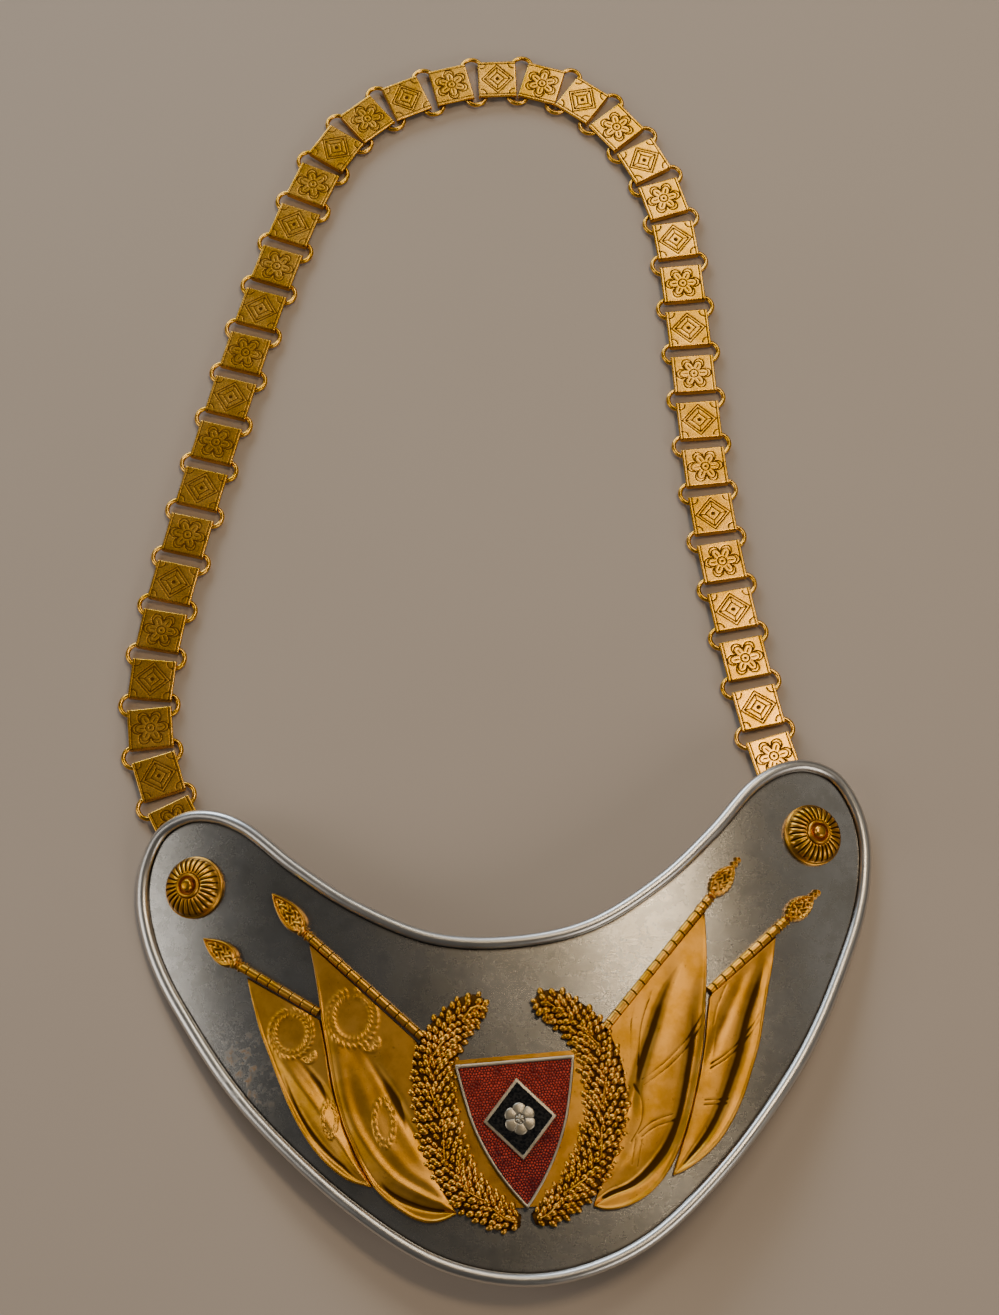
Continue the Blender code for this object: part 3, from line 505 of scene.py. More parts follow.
def bend_normal(x):
    """The sheet's upward normal, from the slope of the bend."""
    s = sizes("plate")
    share = np.minimum(1, np.abs(x) / (s.width / 2))
    slope = np.sign(x) * s.rise * s.power / (s.width / 2) * share ** (s.power - 1)
    normal = np.stack([slope, np.zeros_like(slope), np.ones_like(slope)], -1)
    return normal / np.linalg.norm(normal, axis=-1, keepdims=True)


def lean_to_rest(points):
    """Turn points of the plate's frame by its lean and put them where the plate lies."""
    s = sizes("plate")
    co, si = math.cos(s.lean), math.sin(s.lean)
    x, y, z = points[..., 0], points[..., 1], points[..., 2]
    place = ((PLATE_LOW.x + PLATE_HIGH.x) / 2, PLATE_HIGH.y + PAST_TOP, PLATE_LOW.z + ABOVE_LOW)
    return np.stack([x + place[0], y * co - z * si + place[1], y * si + z * co + place[2]], -1)


def on_plate(plan, height):
    """World points at a height above the sheet's middle surface, over plan points in metres."""
    x, y = plan[..., 0], plan[..., 1]
    flat = np.stack([x, y, bend(x)], -1)
    return lean_to_rest(flat + bend_normal(x) * np.asarray(height)[..., None])


def plate_rim():
    """The rim's outer edge as two runs: the upper side left to right and the lower side back."""
    s = sizes("plate")
    half = np.array(PLATE_OUTLINE) * (s.width / 2, -s.height)
    curve = curve_through(np.vstack([half, half[-2:0:-1] * (-1, 1)]), 20, closed=True)
    right, left = curve[:, 0].argmax(), curve[:, 0].argmin()
    return np.vstack([curve[left:], curve[:right + 1]]), curve[right:left + 1]


# Finishes.


def node_group(name, sockets_in, sockets_out):
    """An empty shader group with its sockets. Returns it with its two end nodes."""
    group = bpy.data.node_groups.new(name, "ShaderNodeTree")
    for label, kind, value in sockets_in:
        socket = group.interface.new_socket(label, in_out="INPUT", socket_type=kind)
        if value is not None:
            socket.default_value = value
    for label, kind in sockets_out:
        group.interface.new_socket(label, in_out="OUTPUT", socket_type=kind)
    return group, group.nodes.new("NodeGroupInput"), group.nodes.new("NodeGroupOutput")


def add_node(tree, kind, settings=(), **inputs):
    """A node with its settings made and its inputs set or linked by name or number."""
    node = tree.nodes.new("ShaderNode" + kind)
    for key, value in dict(settings).items():
        setattr(node, key, value)
    for key, value in inputs.items():
        socket = node.inputs[int(key[1:])] if key[0] == "i" and key[1:].isdigit() else (
            node.inputs[key.replace("_", " ")])
        if isinstance(value, bpy.types.NodeSocket):
            tree.links.new(value, socket)
        else:
            socket.default_value = value
    return node


def mix_colours(tree, factor, a, b):
    """Mix two colours by a factor."""
    return add_node(tree, "Mix", {"data_type": "RGBA"}, i0=factor, i6=a, i7=b).outputs[2]


def ramp(tree, value, low, high, to_low=0.0, to_high=1.0):
    """Stretch a value from one range to another, softly."""
    return add_node(tree, "MapRange", {"interpolation_type": "SMOOTHSTEP"}, Value=value,
                    From_Min=low, From_Max=high, To_Min=to_low, To_Max=to_high).outputs[0]


def times(tree, a, b):
    """One value times another."""
    return add_node(tree, "Math", {"operation": "MULTIPLY"}, i0=a, i1=b).outputs[0]


def times_plus(tree, a, b, c):
    """One value times another, and a third on top."""
    return add_node(tree, "Math", {"operation": "MULTIPLY_ADD"}, i0=a, i1=b, i2=c).outputs[0]


def noise(tree, place, scale, detail, roughness=0.5):
    """A cloudy value between 0 and 1."""
    return add_node(tree, "TexNoise", Vector=place, Scale=scale, Detail=detail,
                    Roughness=roughness).outputs[0]


def set_inputs(tree, shader, **outputs):
    """Link outputs to a shader's sockets, by the sockets' names with _ for a space."""
    for key, output in outputs.items():
        tree.links.new(output, shader.inputs[key.replace("_", " ")])


def fine_relief(tree, height, strength):
    """A normal that stands for marks too fine for the mesh, at most 0.2 mm deep."""
    return add_node(tree, "Bump", Strength=strength, Distance=0.0002, Height=height).outputs[0]


def aged_metal_and_shade():
    """Metal that has browned in its hollows: broad mottling, a deep colour where the hollow mark
    is high, scattered specks, and roughness and height that follow them."""
    if "Aged metal and shade" in bpy.data.node_groups:
        return bpy.data.node_groups["Aged metal and shade"]
    tree, start, end = node_group("Aged metal and shade", [
        ("Vector", "NodeSocketVector", None), ("Hollow", "NodeSocketFloat", 0.0),
        ("Bright", "NodeSocketColor", (0.8, 0.5, 0.1, 1)),
        ("Deep", "NodeSocketColor", (0.1, 0.05, 0.01, 1)),
        ("Speck Amount", "NodeSocketFloat", 0.3), ("Roughness", "NodeSocketFloat", 0.3)], [
        ("Color", "NodeSocketColor"), ("Roughness", "NodeSocketFloat"),
        ("Height", "NodeSocketFloat")])
    vector, hollow, bright, deep, speck, rough = start.outputs[:6]
    broad = noise(tree, vector, 130.0, 4.0, 0.6)
    fine = noise(tree, vector, 2500.0, 3.0)
    spots = noise(tree, vector, 620.0, 2.0, 0.7)
    dim = add_node(tree, "HueSaturation", Saturation=1.08, Value=0.74, Color=bright).outputs[0]
    body = mix_colours(tree, ramp(tree, broad, 0.35, 0.68), bright, dim)
    # Brown patina and painted shade: the hollow mark, with some of the broad mottling, darkens the
    # colour towards the deep one.
    shade_and_patina = ramp(tree, times_plus(tree, broad, 0.35, hollow), 0.52, 1.12)
    body = mix_colours(tree, shade_and_patina, body, deep)
    body = mix_colours(tree, times(tree, ramp(tree, spots, 0.66, 0.74), speck), body, deep)
    worn = times_plus(tree, fine, 0.12, times_plus(tree, shade_and_patina, 0.30, rough))
    for output, socket in zip((body, worn, fine), end.inputs):
        tree.links.new(output, socket)
    return tree


def new_finish(name, colour, roughness, metallic):
    """A material with its Principled shader."""
    material = bpy.data.materials.new(name)
    material.use_nodes = True
    tree = material.node_tree
    shader = tree.nodes["Principled BSDF"]
    shader.inputs["Base Color"].default_value = (*colour, 1)
    shader.inputs["Roughness"].default_value = roughness
    shader.inputs["Metallic"].default_value = metallic
    material.diffuse_color = (*colour, 1)
    return material, tree, shader


def object_place(tree):
    """Object coordinates."""
    return add_node(tree, "TexCoord").outputs["Object"]


def mark_value(tree, name):
    """A value that the piece's mesh carries."""
    return add_node(tree, "Attribute", {"attribute_name": name}).outputs["Fac"]


def tinted(colour, red, green, blue):
    """A colour with each channel scaled, and full alpha."""
    return (colour[0] * red, colour[1] * green, colour[2] * blue, 1)


def aged_shaded_finish(name, bright, deep, roughness, specks, strength):
    """A metal finish from the aged metal group, with a fine grain."""
    if name in bpy.data.materials:
        return bpy.data.materials[name]
    material, tree, shader = new_finish(name, bright, roughness, 1.0)
    group = add_node(tree, "Group", {"node_tree": aged_metal_and_shade()}, Vector=object_place(tree),
                     Hollow=mark_value(tree, "hollow"), Bright=(*bright, 1), Deep=(*deep, 1),
                     Speck_Amount=specks, Roughness=roughness)
    set_inputs(tree, shader, Base_Color=group.outputs["Color"],
               Roughness=group.outputs["Roughness"],
               Normal=fine_relief(tree, group.outputs["Height"], strength))
    return material


def finish(name):
    """The gorget's finishes by name, each made once."""
    c = sizes("finish")
    aged = {
        # bright colour, colour in the hollows for patina and painted shade, roughness, specks,
        # strength of the grain
        "gilt_cast": ("Gilt castings", c.gilt, c.gilt_deep, 0.27, 0.55, 0.12),
        "gilt_cloth": ("Gilt cloth", [0.92 * v for v in c.gilt], c.gilt_deep, 0.37, 0.35, 0.06),
        "gilt_chain": ("Gilt chain", c.chain, c.gilt_deep, 0.22, 0.20, 0.05),
        "silver": ("Tarnished silver", c.silver, (0.16, 0.14, 0.11), 0.34, 0.5, 0.12),
        "hook": ("Hook brass", (0.55, 0.40, 0.16), (0.10, 0.06, 0.02), 0.42, 0.6, 0.12),
    }
    if name in aged:
        return aged_shaded_finish(*aged[name])
    return {"plate": plate_finish, "enamel": enamel_finish, "black": black_finish}[name]()


def plate_finish():
    """Satin nickel silver: cloudy handling marks, a fine grain, faint polishing lines, rough
    oxide spots near the left tip, and a rim polished by wear."""
    base = sizes("finish").plate
    material, tree, shader = new_finish("Satin plate", base, 0.36, 1.0)
    place = object_place(tree)
    polish = mark_value(tree, "polish")
    broad = noise(tree, place, 38.0, 6.0, 0.62)
    cloud = noise(tree, place, 210.0, 5.0, 0.65)
    drawn = add_node(tree, "Mapping", Vector=place, Rotation=(0, 0, 0.5),
                     Scale=(1.0, 14.0, 1.0)).outputs[0]
    body = mix_colours(tree, ramp(tree, broad, 0.36, 0.66), (*base, 1),
                       tinted(base, 0.80, 0.79, 0.76))
    body = mix_colours(tree, ramp(tree, cloud, 0.40, 0.74, 0.0, 0.5), body,
                       tinted(base, 0.62, 0.60, 0.56))
    oxide_middle = (-0.073, -0.124, 0.010)
    apart = add_node(tree, "VectorMath", {"operation": "DISTANCE"}, i0=place,
                     i1=oxide_middle).outputs["Value"]
    oxide = times(tree, ramp(tree, apart, 0.004, 0.017, 1.0, 0.0),
                  ramp(tree, noise(tree, place, 420.0, 5.0, 0.75), 0.50, 0.66))
    body = mix_colours(tree, oxide, body, (0.33, 0.22, 0.13, 1))
    body = mix_colours(tree, polish, body, (0.60, 0.59, 0.57, 1))
    # Painted shade: the hollow mark turns the creases beside the rim dark brown.
    shade_and_patina = ramp(tree, mark_value(tree, "hollow"), 0.15, 1.0, 0.0, 0.92)
    rough = times_plus(tree, oxide, 0.25, times_plus(tree, cloud, 0.14, 0.20))
    grain = noise(tree, place, 3800.0, 2.0)
    height = times_plus(tree, noise(tree, drawn, 260.0, 4.0), 0.7, grain)
    height = times(tree, times_plus(tree, oxide, 1.5, height),
                   ramp(tree, polish, 0.0, 0.8, 1.0, 0.0))
    set_inputs(tree, shader, Base_Color=mix_colours(tree, shade_and_patina, body, (0.035, 0.022, 0.012, 1)),
               Roughness=times_plus(tree, polish, 0.06, rough),
               Normal=fine_relief(tree, height, 0.10))
    return material


def enamel_finish():
    """Old red enamel over a pebbled ground: crimson, with small orange red lights on the tops of
    the pebbles and a dark brown red between them."""
    red = sizes("finish").red
    material, tree, shader = new_finish("Red enamel", red, 0.50, 0.0)
    place = object_place(tree)
    level = add_node(tree, "SeparateXYZ", Vector=place).outputs[1]
    low, high = (corner.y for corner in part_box("shield"))
    # Painted light: the red is lighter towards the top of the shield and darker and bluer towards
    # its point.
    body = mix_colours(tree, ramp(tree, level, low + 0.010, high - 0.008),
                       tinted(red, 0.60, 0.6, 1.6), tinted(red, 1.05, 1.5, 1.1))
    cloud = noise(tree, place, 420.0, 3.0)
    body = mix_colours(tree, ramp(tree, cloud, 0.4, 0.7, 0.0, 0.6), body,
                       (red[0] * 0.45, 0.003, 0.003, 1))
    hollow = mark_value(tree, "hollow")
    # Painted highlights: small orange red lights on the tops of the pebbles, where the mark is
    # low.
    lights = times(tree, ramp(tree, hollow, 0.0, 0.08, 1.0, 0.0), ramp(tree, cloud, 0.26, 0.58))
    body = mix_colours(tree, lights, body, (0.55, 0.050, 0.024, 1))
    # Painted shade: dark brown red in the gaps between the pebbles.
    body = mix_colours(tree, ramp(tree, hollow, 0.40, 1.0, 0.0, 0.85), body,
                       (0.020, 0.002, 0.001, 1))
    set_inputs(tree, shader, Base_Color=body, Roughness=ramp(tree, cloud, 0.3, 0.7, 0.34, 0.50))
    shader.inputs["Specular IOR Level"].default_value = 0.20
    return material


def black_finish():
    """Black enamel: a very dark blue black with a soft gloss and faint pits."""
    material, tree, shader = new_finish("Black enamel", (0.004, 0.005, 0.007), 0.34, 0.0)
    shader.inputs["Specular IOR Level"].default_value = 0.22
    pits = noise(tree, object_place(tree), 1500.0, 4.0)
    body = mix_colours(tree, ramp(tree, pits, 0.5, 0.75), (0.003, 0.004, 0.006, 1),
                       (0.014, 0.014, 0.015, 1))
    set_inputs(tree, shader, Base_Color=body, Roughness=ramp(tree, pits, 0.3, 0.7, 0.20, 0.38),
               Normal=fine_relief(tree, pits, 0.15))
    return material


# Pieces.


def breastplate():
    """The bent sheet with its rolled rim. The rim is a circle carried round the outline, and each
    face is a grid of straight lines from the upper run to the lower one, laid on the bend."""
    s = sizes("plate")
    columns, rows, sides = 240, 56, 24
    upper, lower = (evenly(run, columns) for run in plate_rim())
    edge = np.vstack([upper, lower[1:-1]])
    along = heading(edge, closed=True)
    inward = right_of(along)
    start = math.asin((s.sheet / 2 - s.bead_rise) / s.bead)
    end = 2 * math.pi + math.asin((-s.sheet / 2 - s.bead_rise) / s.bead)
    turn = np.linspace(start, end, sides + 1)
    plan = edge[:, None] + inward[:, None] * (s.bead * (1 + np.cos(turn)))[None, :, None]
    rise = s.bead_rise + s.bead * np.sin(turn)
    # Painted shade: the bead darkens, and loses polish, where it turns in to meet the sheet.
    inside = np.maximum(bump(turn, start, 0.45), bump(turn, end, 0.45))[None, :]
    patches = [grid_patch(on_plate(plan, rise), wrap_rows=True, polish=1 - 0.7 * inside,
                          hollow=inside)]
    k = np.arange(columns + 1)
    for side, level in ((0, s.sheet / 2), (sides, -s.sheet / 2)):
        top, low = plan[k, side], plan[(2 * columns - k) % (2 * columns), side]
        share = (1 - np.cos(np.linspace(0, math.pi, rows + 1)))[None, :, None] / 2
        face = top[:, None] + (low - top)[:, None] * share
        apart = np.linalg.norm(low - top, axis=1)[:, None] * np.minimum(share, 1 - share)[..., 0]
        # Painted shade: each face darkens in the crease next to the rim.
        crease_shade = np.exp(-apart / 0.0007)
        patches.append(grid_patch(on_plate(face, level), polish=0.3 * crease_shade, hollow=crease_shade))
    add_piece("plate_with_rim", patches, "plate", ["breastplate"])


def bosses():
    """Turned bosses: the profile is carried round the axis, and over the dome the height swells
    and sinks as the size of a sine of the turn, which makes rounded petals."""
    t, petal_height = sizes("trophy"), 0.00060
    profile = curve_through(BOSS_PROFILE, 5) * (t.boss_diameter / 2, t.boss_height)
    turn = turns(t.flutes * 10)
    r, h = profile[:, :1], profile[:, 1:]
    share = r / (t.boss_diameter / 2)
    dome = smooth_step(share, 0.41, 0.48) * (1 - smooth_step(share, 0.89, 0.95))
    petal = np.abs(np.sin(turn * t.flutes / 2))[None, :]
    round_end = 1 - 0.7 * smooth_step(share, 0.80, 0.94) * (1 - petal)
    swell = dome * (petal ** 0.55 - 0.80) * petal_height * round_end
    flat = np.stack(np.broadcast_arrays(r * np.cos(turn), r * np.sin(turn)), -1)
    # Brown patina and painted shade: the mark is high between the petals, in the grooves round the
    # knob and at the flange, and full on the foot below.
    hollow = np.clip(dome * (1 - petal) ** 1.1 * 1.5 + 0.90 * bump(share, 0.405, 0.020)
                     + 0.60 * bump(share, 0.25, 0.04) + 0.7 * bump(share, 0.945, 0.015), 0, 1)
    plate = sizes("plate")
    for side, word in ((-1, "left"), (1, "right")):
        x = np.array(side * t.boss_spread / 2)
        normal = bend_normal(x)
        across = np.cross((0, 1, 0), normal)
        middle = np.array([x, -t.boss_drop, bend(x)]) + normal * (plate.sheet / 2)
        lift = (h + swell + plate.seat - plate.sheet / 2 * (h > 0))[..., None]
        points = middle + flat[..., :1] * across + flat[..., 1:] * np.array((0, 1.0, 0))
        points = points + lift * normal * (h > 0)[..., None]
        foot = np.broadcast_to(middle, (1, len(turn), 3))
        points = lean_to_rest(np.concatenate([foot, points]))
        marks = np.concatenate([np.ones((1, len(turn))), hollow])
        add_piece(f"rosette_{word}", [grid_patch(points, wrap_cols=True, hollow=marks)],
                  "gilt_cast", [f"boss_{word}"])


def leaf_ring(plan, middle, half_sizes, count):
    """An oval ring of fine slanting leaves: two bands round the oval, cut by a turn that runs on
    with the distance from the middle, so that the leaves lean apart, and a thin stem between."""
    away = (plan - np.array(middle)) / np.array(half_sizes)
    reach = np.linalg.norm(away, axis=-1)
    turn = np.arctan2(away[..., 1], away[..., 0])
    total = 0.5 * bump(reach, 1.0, 0.05)
    for band, lean in ((0.88, 1.0), (1.15, -1.0)):
        phase = turn * count / 2 + lean * (reach - 1) * 8.0
        total = np.maximum(total, bump(reach, band, 0.10) * np.abs(np.sin(phase)) ** 0.8)
    return total * (1 - 0.9 * bump(turn, math.pi / 2, 0.15))


def ribbon_fan(plan, middle, radius):
    """A small fan of ribbon: ridges that spread from the middle, inside a raised arc."""
    away = plan - np.array(middle)
    reach = np.linalg.norm(away, axis=-1) / radius
    turn = np.arctan2(away[..., 1], away[..., 0])
    ridges = np.abs(np.cos(turn * 4.5)) * smooth_step(reach, 0.25, 0.40) * (
        1 - smooth_step(reach, 0.80, 0.90))
    return np.maximum(ridges, bump(reach, 1.0, 0.12)) * (turn < 0.6) * (turn > -2.9)


def line_reach(plan, points):
    """Distance from each plan point to a curve through some points."""
    curve = curve_through(np.array(points) / 1000, 24)
    apart = plan[:, :, None] - curve[None, None]
    return np.sqrt((apart ** 2).sum(-1).min(-1))


def flag_folds(name, s, v):
    """The folds over a flag, as bells across it along their lines, and how deep its valleys are.
    A fold fades in above the start of its line and mostly out past the end."""
    wave, valley_shade = (np.zeros((v.size, s.size)) for _ in range(2))
    for high, width, line in FLAG_FOLDS[name]:
        line = curve_through(line, 10)
        middle = np.interp(v, line[:, 0], line[:, 1])
        fade = smooth_step(v, line[0, 0] - 0.10, line[0, 0] + 0.16)
        fade = fade * (1 - 0.8 * smooth_step(v, line[-1, 0] - 0.05, line[-1, 0] + 0.12))
        wave = wave + bump(s, middle, width) * high * fade
        # Painted shade: how deep a sunk fold is sets how dark its valley is painted.
        valley_shade = valley_shade + bump(s, middle, width * 0.95) * max(-high, 0) * fade
    return wave, valley_shade


def flags():
    """Cast flags: a grid between the outer and inner edges. Folds are bells across the cloth,
    raised or sunk along a line that runs down it, and a thin lip follows the outer edge."""
    t, seat = sizes("trophy"), sizes("plate").seat
    rows, columns = 230, 88
    hair_line, soft_edge, sunk, least = 0.00027, 0.0004, 0.00035, 0.00035
    s = np.linspace(0, 1, columns + 1)[None, :]
    v = np.linspace(0, 1, rows + 1)[:, None]
    for name, edges in FLAG_EDGES.items():
        a, b = (evenly(curve_through(np.array(edge) / 1000, 12), rows) for edge in edges)
        plan = a[:, None] + (b - a)[:, None] * s[..., None]
        across = np.linalg.norm(b - a, axis=1)[:, None]
        from_edge, to_edge = s * across, (1 - s) * across
        wave, valley_shade = flag_folds(name, s, v)
        lip = bump(from_edge, 0.00065, 0.00045) * 0.20 * smooth_step(v, 0.0, 0.25)
        height = t.base * 1.05 + t.fold * (wave * 0.80 + lip)
        for x, y, wide, tall, high, count in LEAF_RINGS.get(name, []):
            ring = leaf_ring(plan, (x / 1000, y / 1000), (wide / 1000, tall / 1000), count)
            height = height + t.fold * high * ring
        if name in RIBBON_FANS:
            x, y, radius = (value / 1000 for value in RIBBON_FANS[name])
            height = height + t.fold * 0.20 * ribbon_fan(plan, (x, y), radius)
        cut = np.zeros(height.shape)
        for line in ENGRAVED.get(name, []):
            cut = np.maximum(cut, bump(line_reach(plan, line), 0, hair_line))
        height = np.clip(height - t.fold * 0.04 * cut, least, None)
        from_staff = v * np.linalg.norm(np.diff(a, axis=0), axis=1).sum()
        edge = np.minimum.reduce(np.broadcast_arrays(from_edge, to_edge, from_staff)) / soft_edge
        # Painted shade in the broad hollows and in the valleys of the sunk folds; the small
        # hollows and the engraved lines are darkened for both patina and painted shade.
        fine, broad = hollows(height, 3, t.fold * 0.30), hollows(height, 16, t.fold * 0.62)
        hollow = fine * 0.55 + 0.75 * broad - 0.16 + 0.50 * cut + 0.52 * valley_shade
        height = height * (0.50 + 0.50 * round_over(edge))
        add_piece(f"cloth_{name}", [slab_patch(on_plate(plan, seat + height),
                                               on_plate(plan, seat - sunk),
                                               hollow=np.clip(hollow, 0, 1))],
                  "gilt_cloth", ["flag_" + name])


# The turned rings of a staff's neck.
NECK_RINGS = {
    # place past the foot of the finial, radius, half length, in metres
    True: [(-0.0004, 0.0016, 0.00045), (0.00055, 0.0013, 0.0004), (0.0017, 0.00165, 0.0009)],
    False: [(-0.0034, 0.0015, 0.00045), (-0.0022, 0.0014, 0.00045), (-0.0010, 0.0014, 0.00045),
            (0.0002, 0.0015, 0.0005), (0.0014, 0.0013, 0.0006)],
}


def staffs():
    """Notched staffs with a spear finial: a tube that is cut in at each notch, rings and a ball
    for the neck, and a leaf head whose smooth rim stands up round a scrolled field."""
    t, seat = sizes("trophy"), sizes("plate").seat
    radius, step, lowest = t.staff / 2, 0.00010, seat - SUNK
    turn = turns(20)
    for name, (low, foot, tip) in STAFFS.items():
        low, foot, tip = (np.array(p) / 1000 for p in (low, foot, tip))
        left = "left" in name
        run = np.linalg.norm(foot - low)
        along = (foot - low) / run
        across = right_of(along)
        reach = np.linspace(0, run, int(run / step))
        beat = np.abs((reach / t.rib) % 1 - 0.5) * t.rib
        swell = 1 - 0.08 * bump(beat, 0, 0.00015)
        if not left:
            swell = swell + 0.03 * bump(beat, 0.00045, 0.00022)
        plan = low + along * reach[:, None]
        spot = plan[:, None] + across * (radius * swell[:, None] * np.cos(turn))[..., None]
        rise = seat - 0.0002 + radius * (0.9 + swell[:, None] * np.sin(turn))
        body = with_hubs(on_plate(spot, np.maximum(rise, lowest)),
                         *(on_plate(plan[i], seat + radius) for i in (0, -1)))
        # Painted shade: the underside of each staff and its notches are darkened.
        shade = 0.25 * np.clip(0.2 - np.sin(turn), 0, 1)
        dark = np.clip(bump(beat, 0, 0.00021)[:, None] * 1.5 + shade, 0, 1)
        dark = np.concatenate([dark[:1], dark, dark[-1:]])
        patches = [grid_patch(body, wrap_cols=True, hollow=dark)]
        lat = np.linspace(0, math.pi, 9)
        for at, wide, thick in NECK_RINGS[left]:
            x = at - thick * np.cos(lat)
            ring = (foot + along * x[:, None])[:, None] + across * (
                wide * np.sin(lat)[:, None] * np.cos(turn))[..., None]
            up = seat + radius * 0.8 + wide * 0.85 * np.sin(lat)[:, None] * np.sin(turn)
            patches.append(grid_patch(on_plate(ring, np.maximum(up, lowest)),
                                      wrap_cols=True, hollow=0.12))
        patches.append(spear_head(foot, tip, left))
        add_piece(f"pole_{name}", patches, "gilt_cast", ["staff_" + name])


def spear_head(foot, tip, left):
    """A leaf-shaped head. Its half width is a root of the share along it times a power of the
    share left, the rim is a bell near the edge, and the field carries crossing scroll waves.
    The right heads are narrower, with cut edges and a long tip."""
    t, seat = sizes("trophy"), sizes("plate").seat
    length = np.linalg.norm(tip - foot)
    ahead = (tip - foot) / length
    aside = right_of(ahead)
    u = (1 - np.cos(np.linspace(0, math.pi, 91))) / 2
    w = np.sin(np.linspace(-1, 1, 57) * math.pi / 2)
    begin = 0.0017 if left else 0.0014
    if left:
        half = t.finial / 2 * 2.06 * u ** 0.46 * (1 - u) ** 0.94
    else:
        leaf = 2.05 * np.clip(u / 0.76, 0, 1) ** 0.60 * np.clip(1 - u / 0.76, 0, 1) ** 0.75
        spike = 0.22 * (1 - smooth_step(u, 0.90, 1.0)) * smooth_step(u, 0.45, 0.62)
        bead = 0.10 * np.cos((u - 0.80) * 2 * math.pi / 0.115) * (u > 0.70) * (u < 0.97)
        half = t.finial / 2 * np.maximum(leaf * (1 + 0.05 * np.cos(u * 2 * math.pi / 0.09)),
                                         (spike + bead) * (u > 0.4))
    half = np.maximum(half, 0)
    plan = (foot + ahead * (begin + (length - begin) * u)[:, None])[:, None] + aside * (
        half[:, None] * w)[..., None]
    metres = (1 - np.abs(w))[None, :] * half[:, None]
    head_height, rim_height, field_height, scroll_height = 0.00115, 0.00070, 0.00006, 0.00024
    soft_edge = 0.00045
    rim = bump(metres, 0.00058, 0.00040)
    field = smooth_step(metres, 0.00100, 0.00135)
    place = (plan - foot) @ np.stack([ahead, aside], -1)
    waves = (0.0021, 0.0019)
    x, y = (place[..., i] * 2 * math.pi / waves[i] for i in (0, 1))
    scroll = np.cos(x + 1.3 * np.sin(y)) * np.cos(y - 1.1 * np.sin(x * 0.7))
    lift = head_height + rim_height * rim + field * (field_height + scroll_height * scroll)
    lift = lift * round_over(metres / soft_edge)
    lift = lift * np.sqrt(np.clip(u * 14, 0, 1))[:, None]
    # Patina and painted shade: the scrolled field is darkened, most in the troughs between the
    # scrolls.
    dark = np.clip(field * (0.58 - 0.40 * scroll), 0, 1)
    return slab_patch(on_plate(plan, seat + lift), on_plate(plan, seat - SUNK), hollow=dark)


def shield_side(level):
    """The shield's half width at levels of the plate's frame, 0 above and below it."""
    s = sizes("shield")
    share = (-level - s.drop) / s.height
    outline = np.array(SHIELD_OUTLINE)
    half = np.interp(share, outline[:, 1], outline[:, 0]) * s.width / 2
    return np.where((share >= 0) & (share <= 1), half, 0.0)


def lobe_patch(origin, forward, length, width, high, level, shade):
    """A rounded lobe of a leaf: half an egg whose long axis points forward."""
    aside = right_of(forward)
    lat = np.linspace(0, math.pi, 7)[:, None]
    turn = turns(10)[None, :]
    x, y = -np.cos(lat), np.sin(lat) * np.cos(turn)
    z = np.sin(lat) * np.sin(turn)
    plan = origin + forward * (x * length / 2)[..., None] + aside * (y * width / 2)[..., None]
    # Painted shade: each lobe darkens towards its foot, where it meets its neighbours; shade adds
    # a random step of tone.
    mark = np.clip(0.62 - z * 0.95, 0, 1) + shade
    return grid_patch(on_plate(plan, level + np.maximum(z, -0.6) * high), wrap_cols=True,
                      hollow=np.clip(mark, 0, 1))


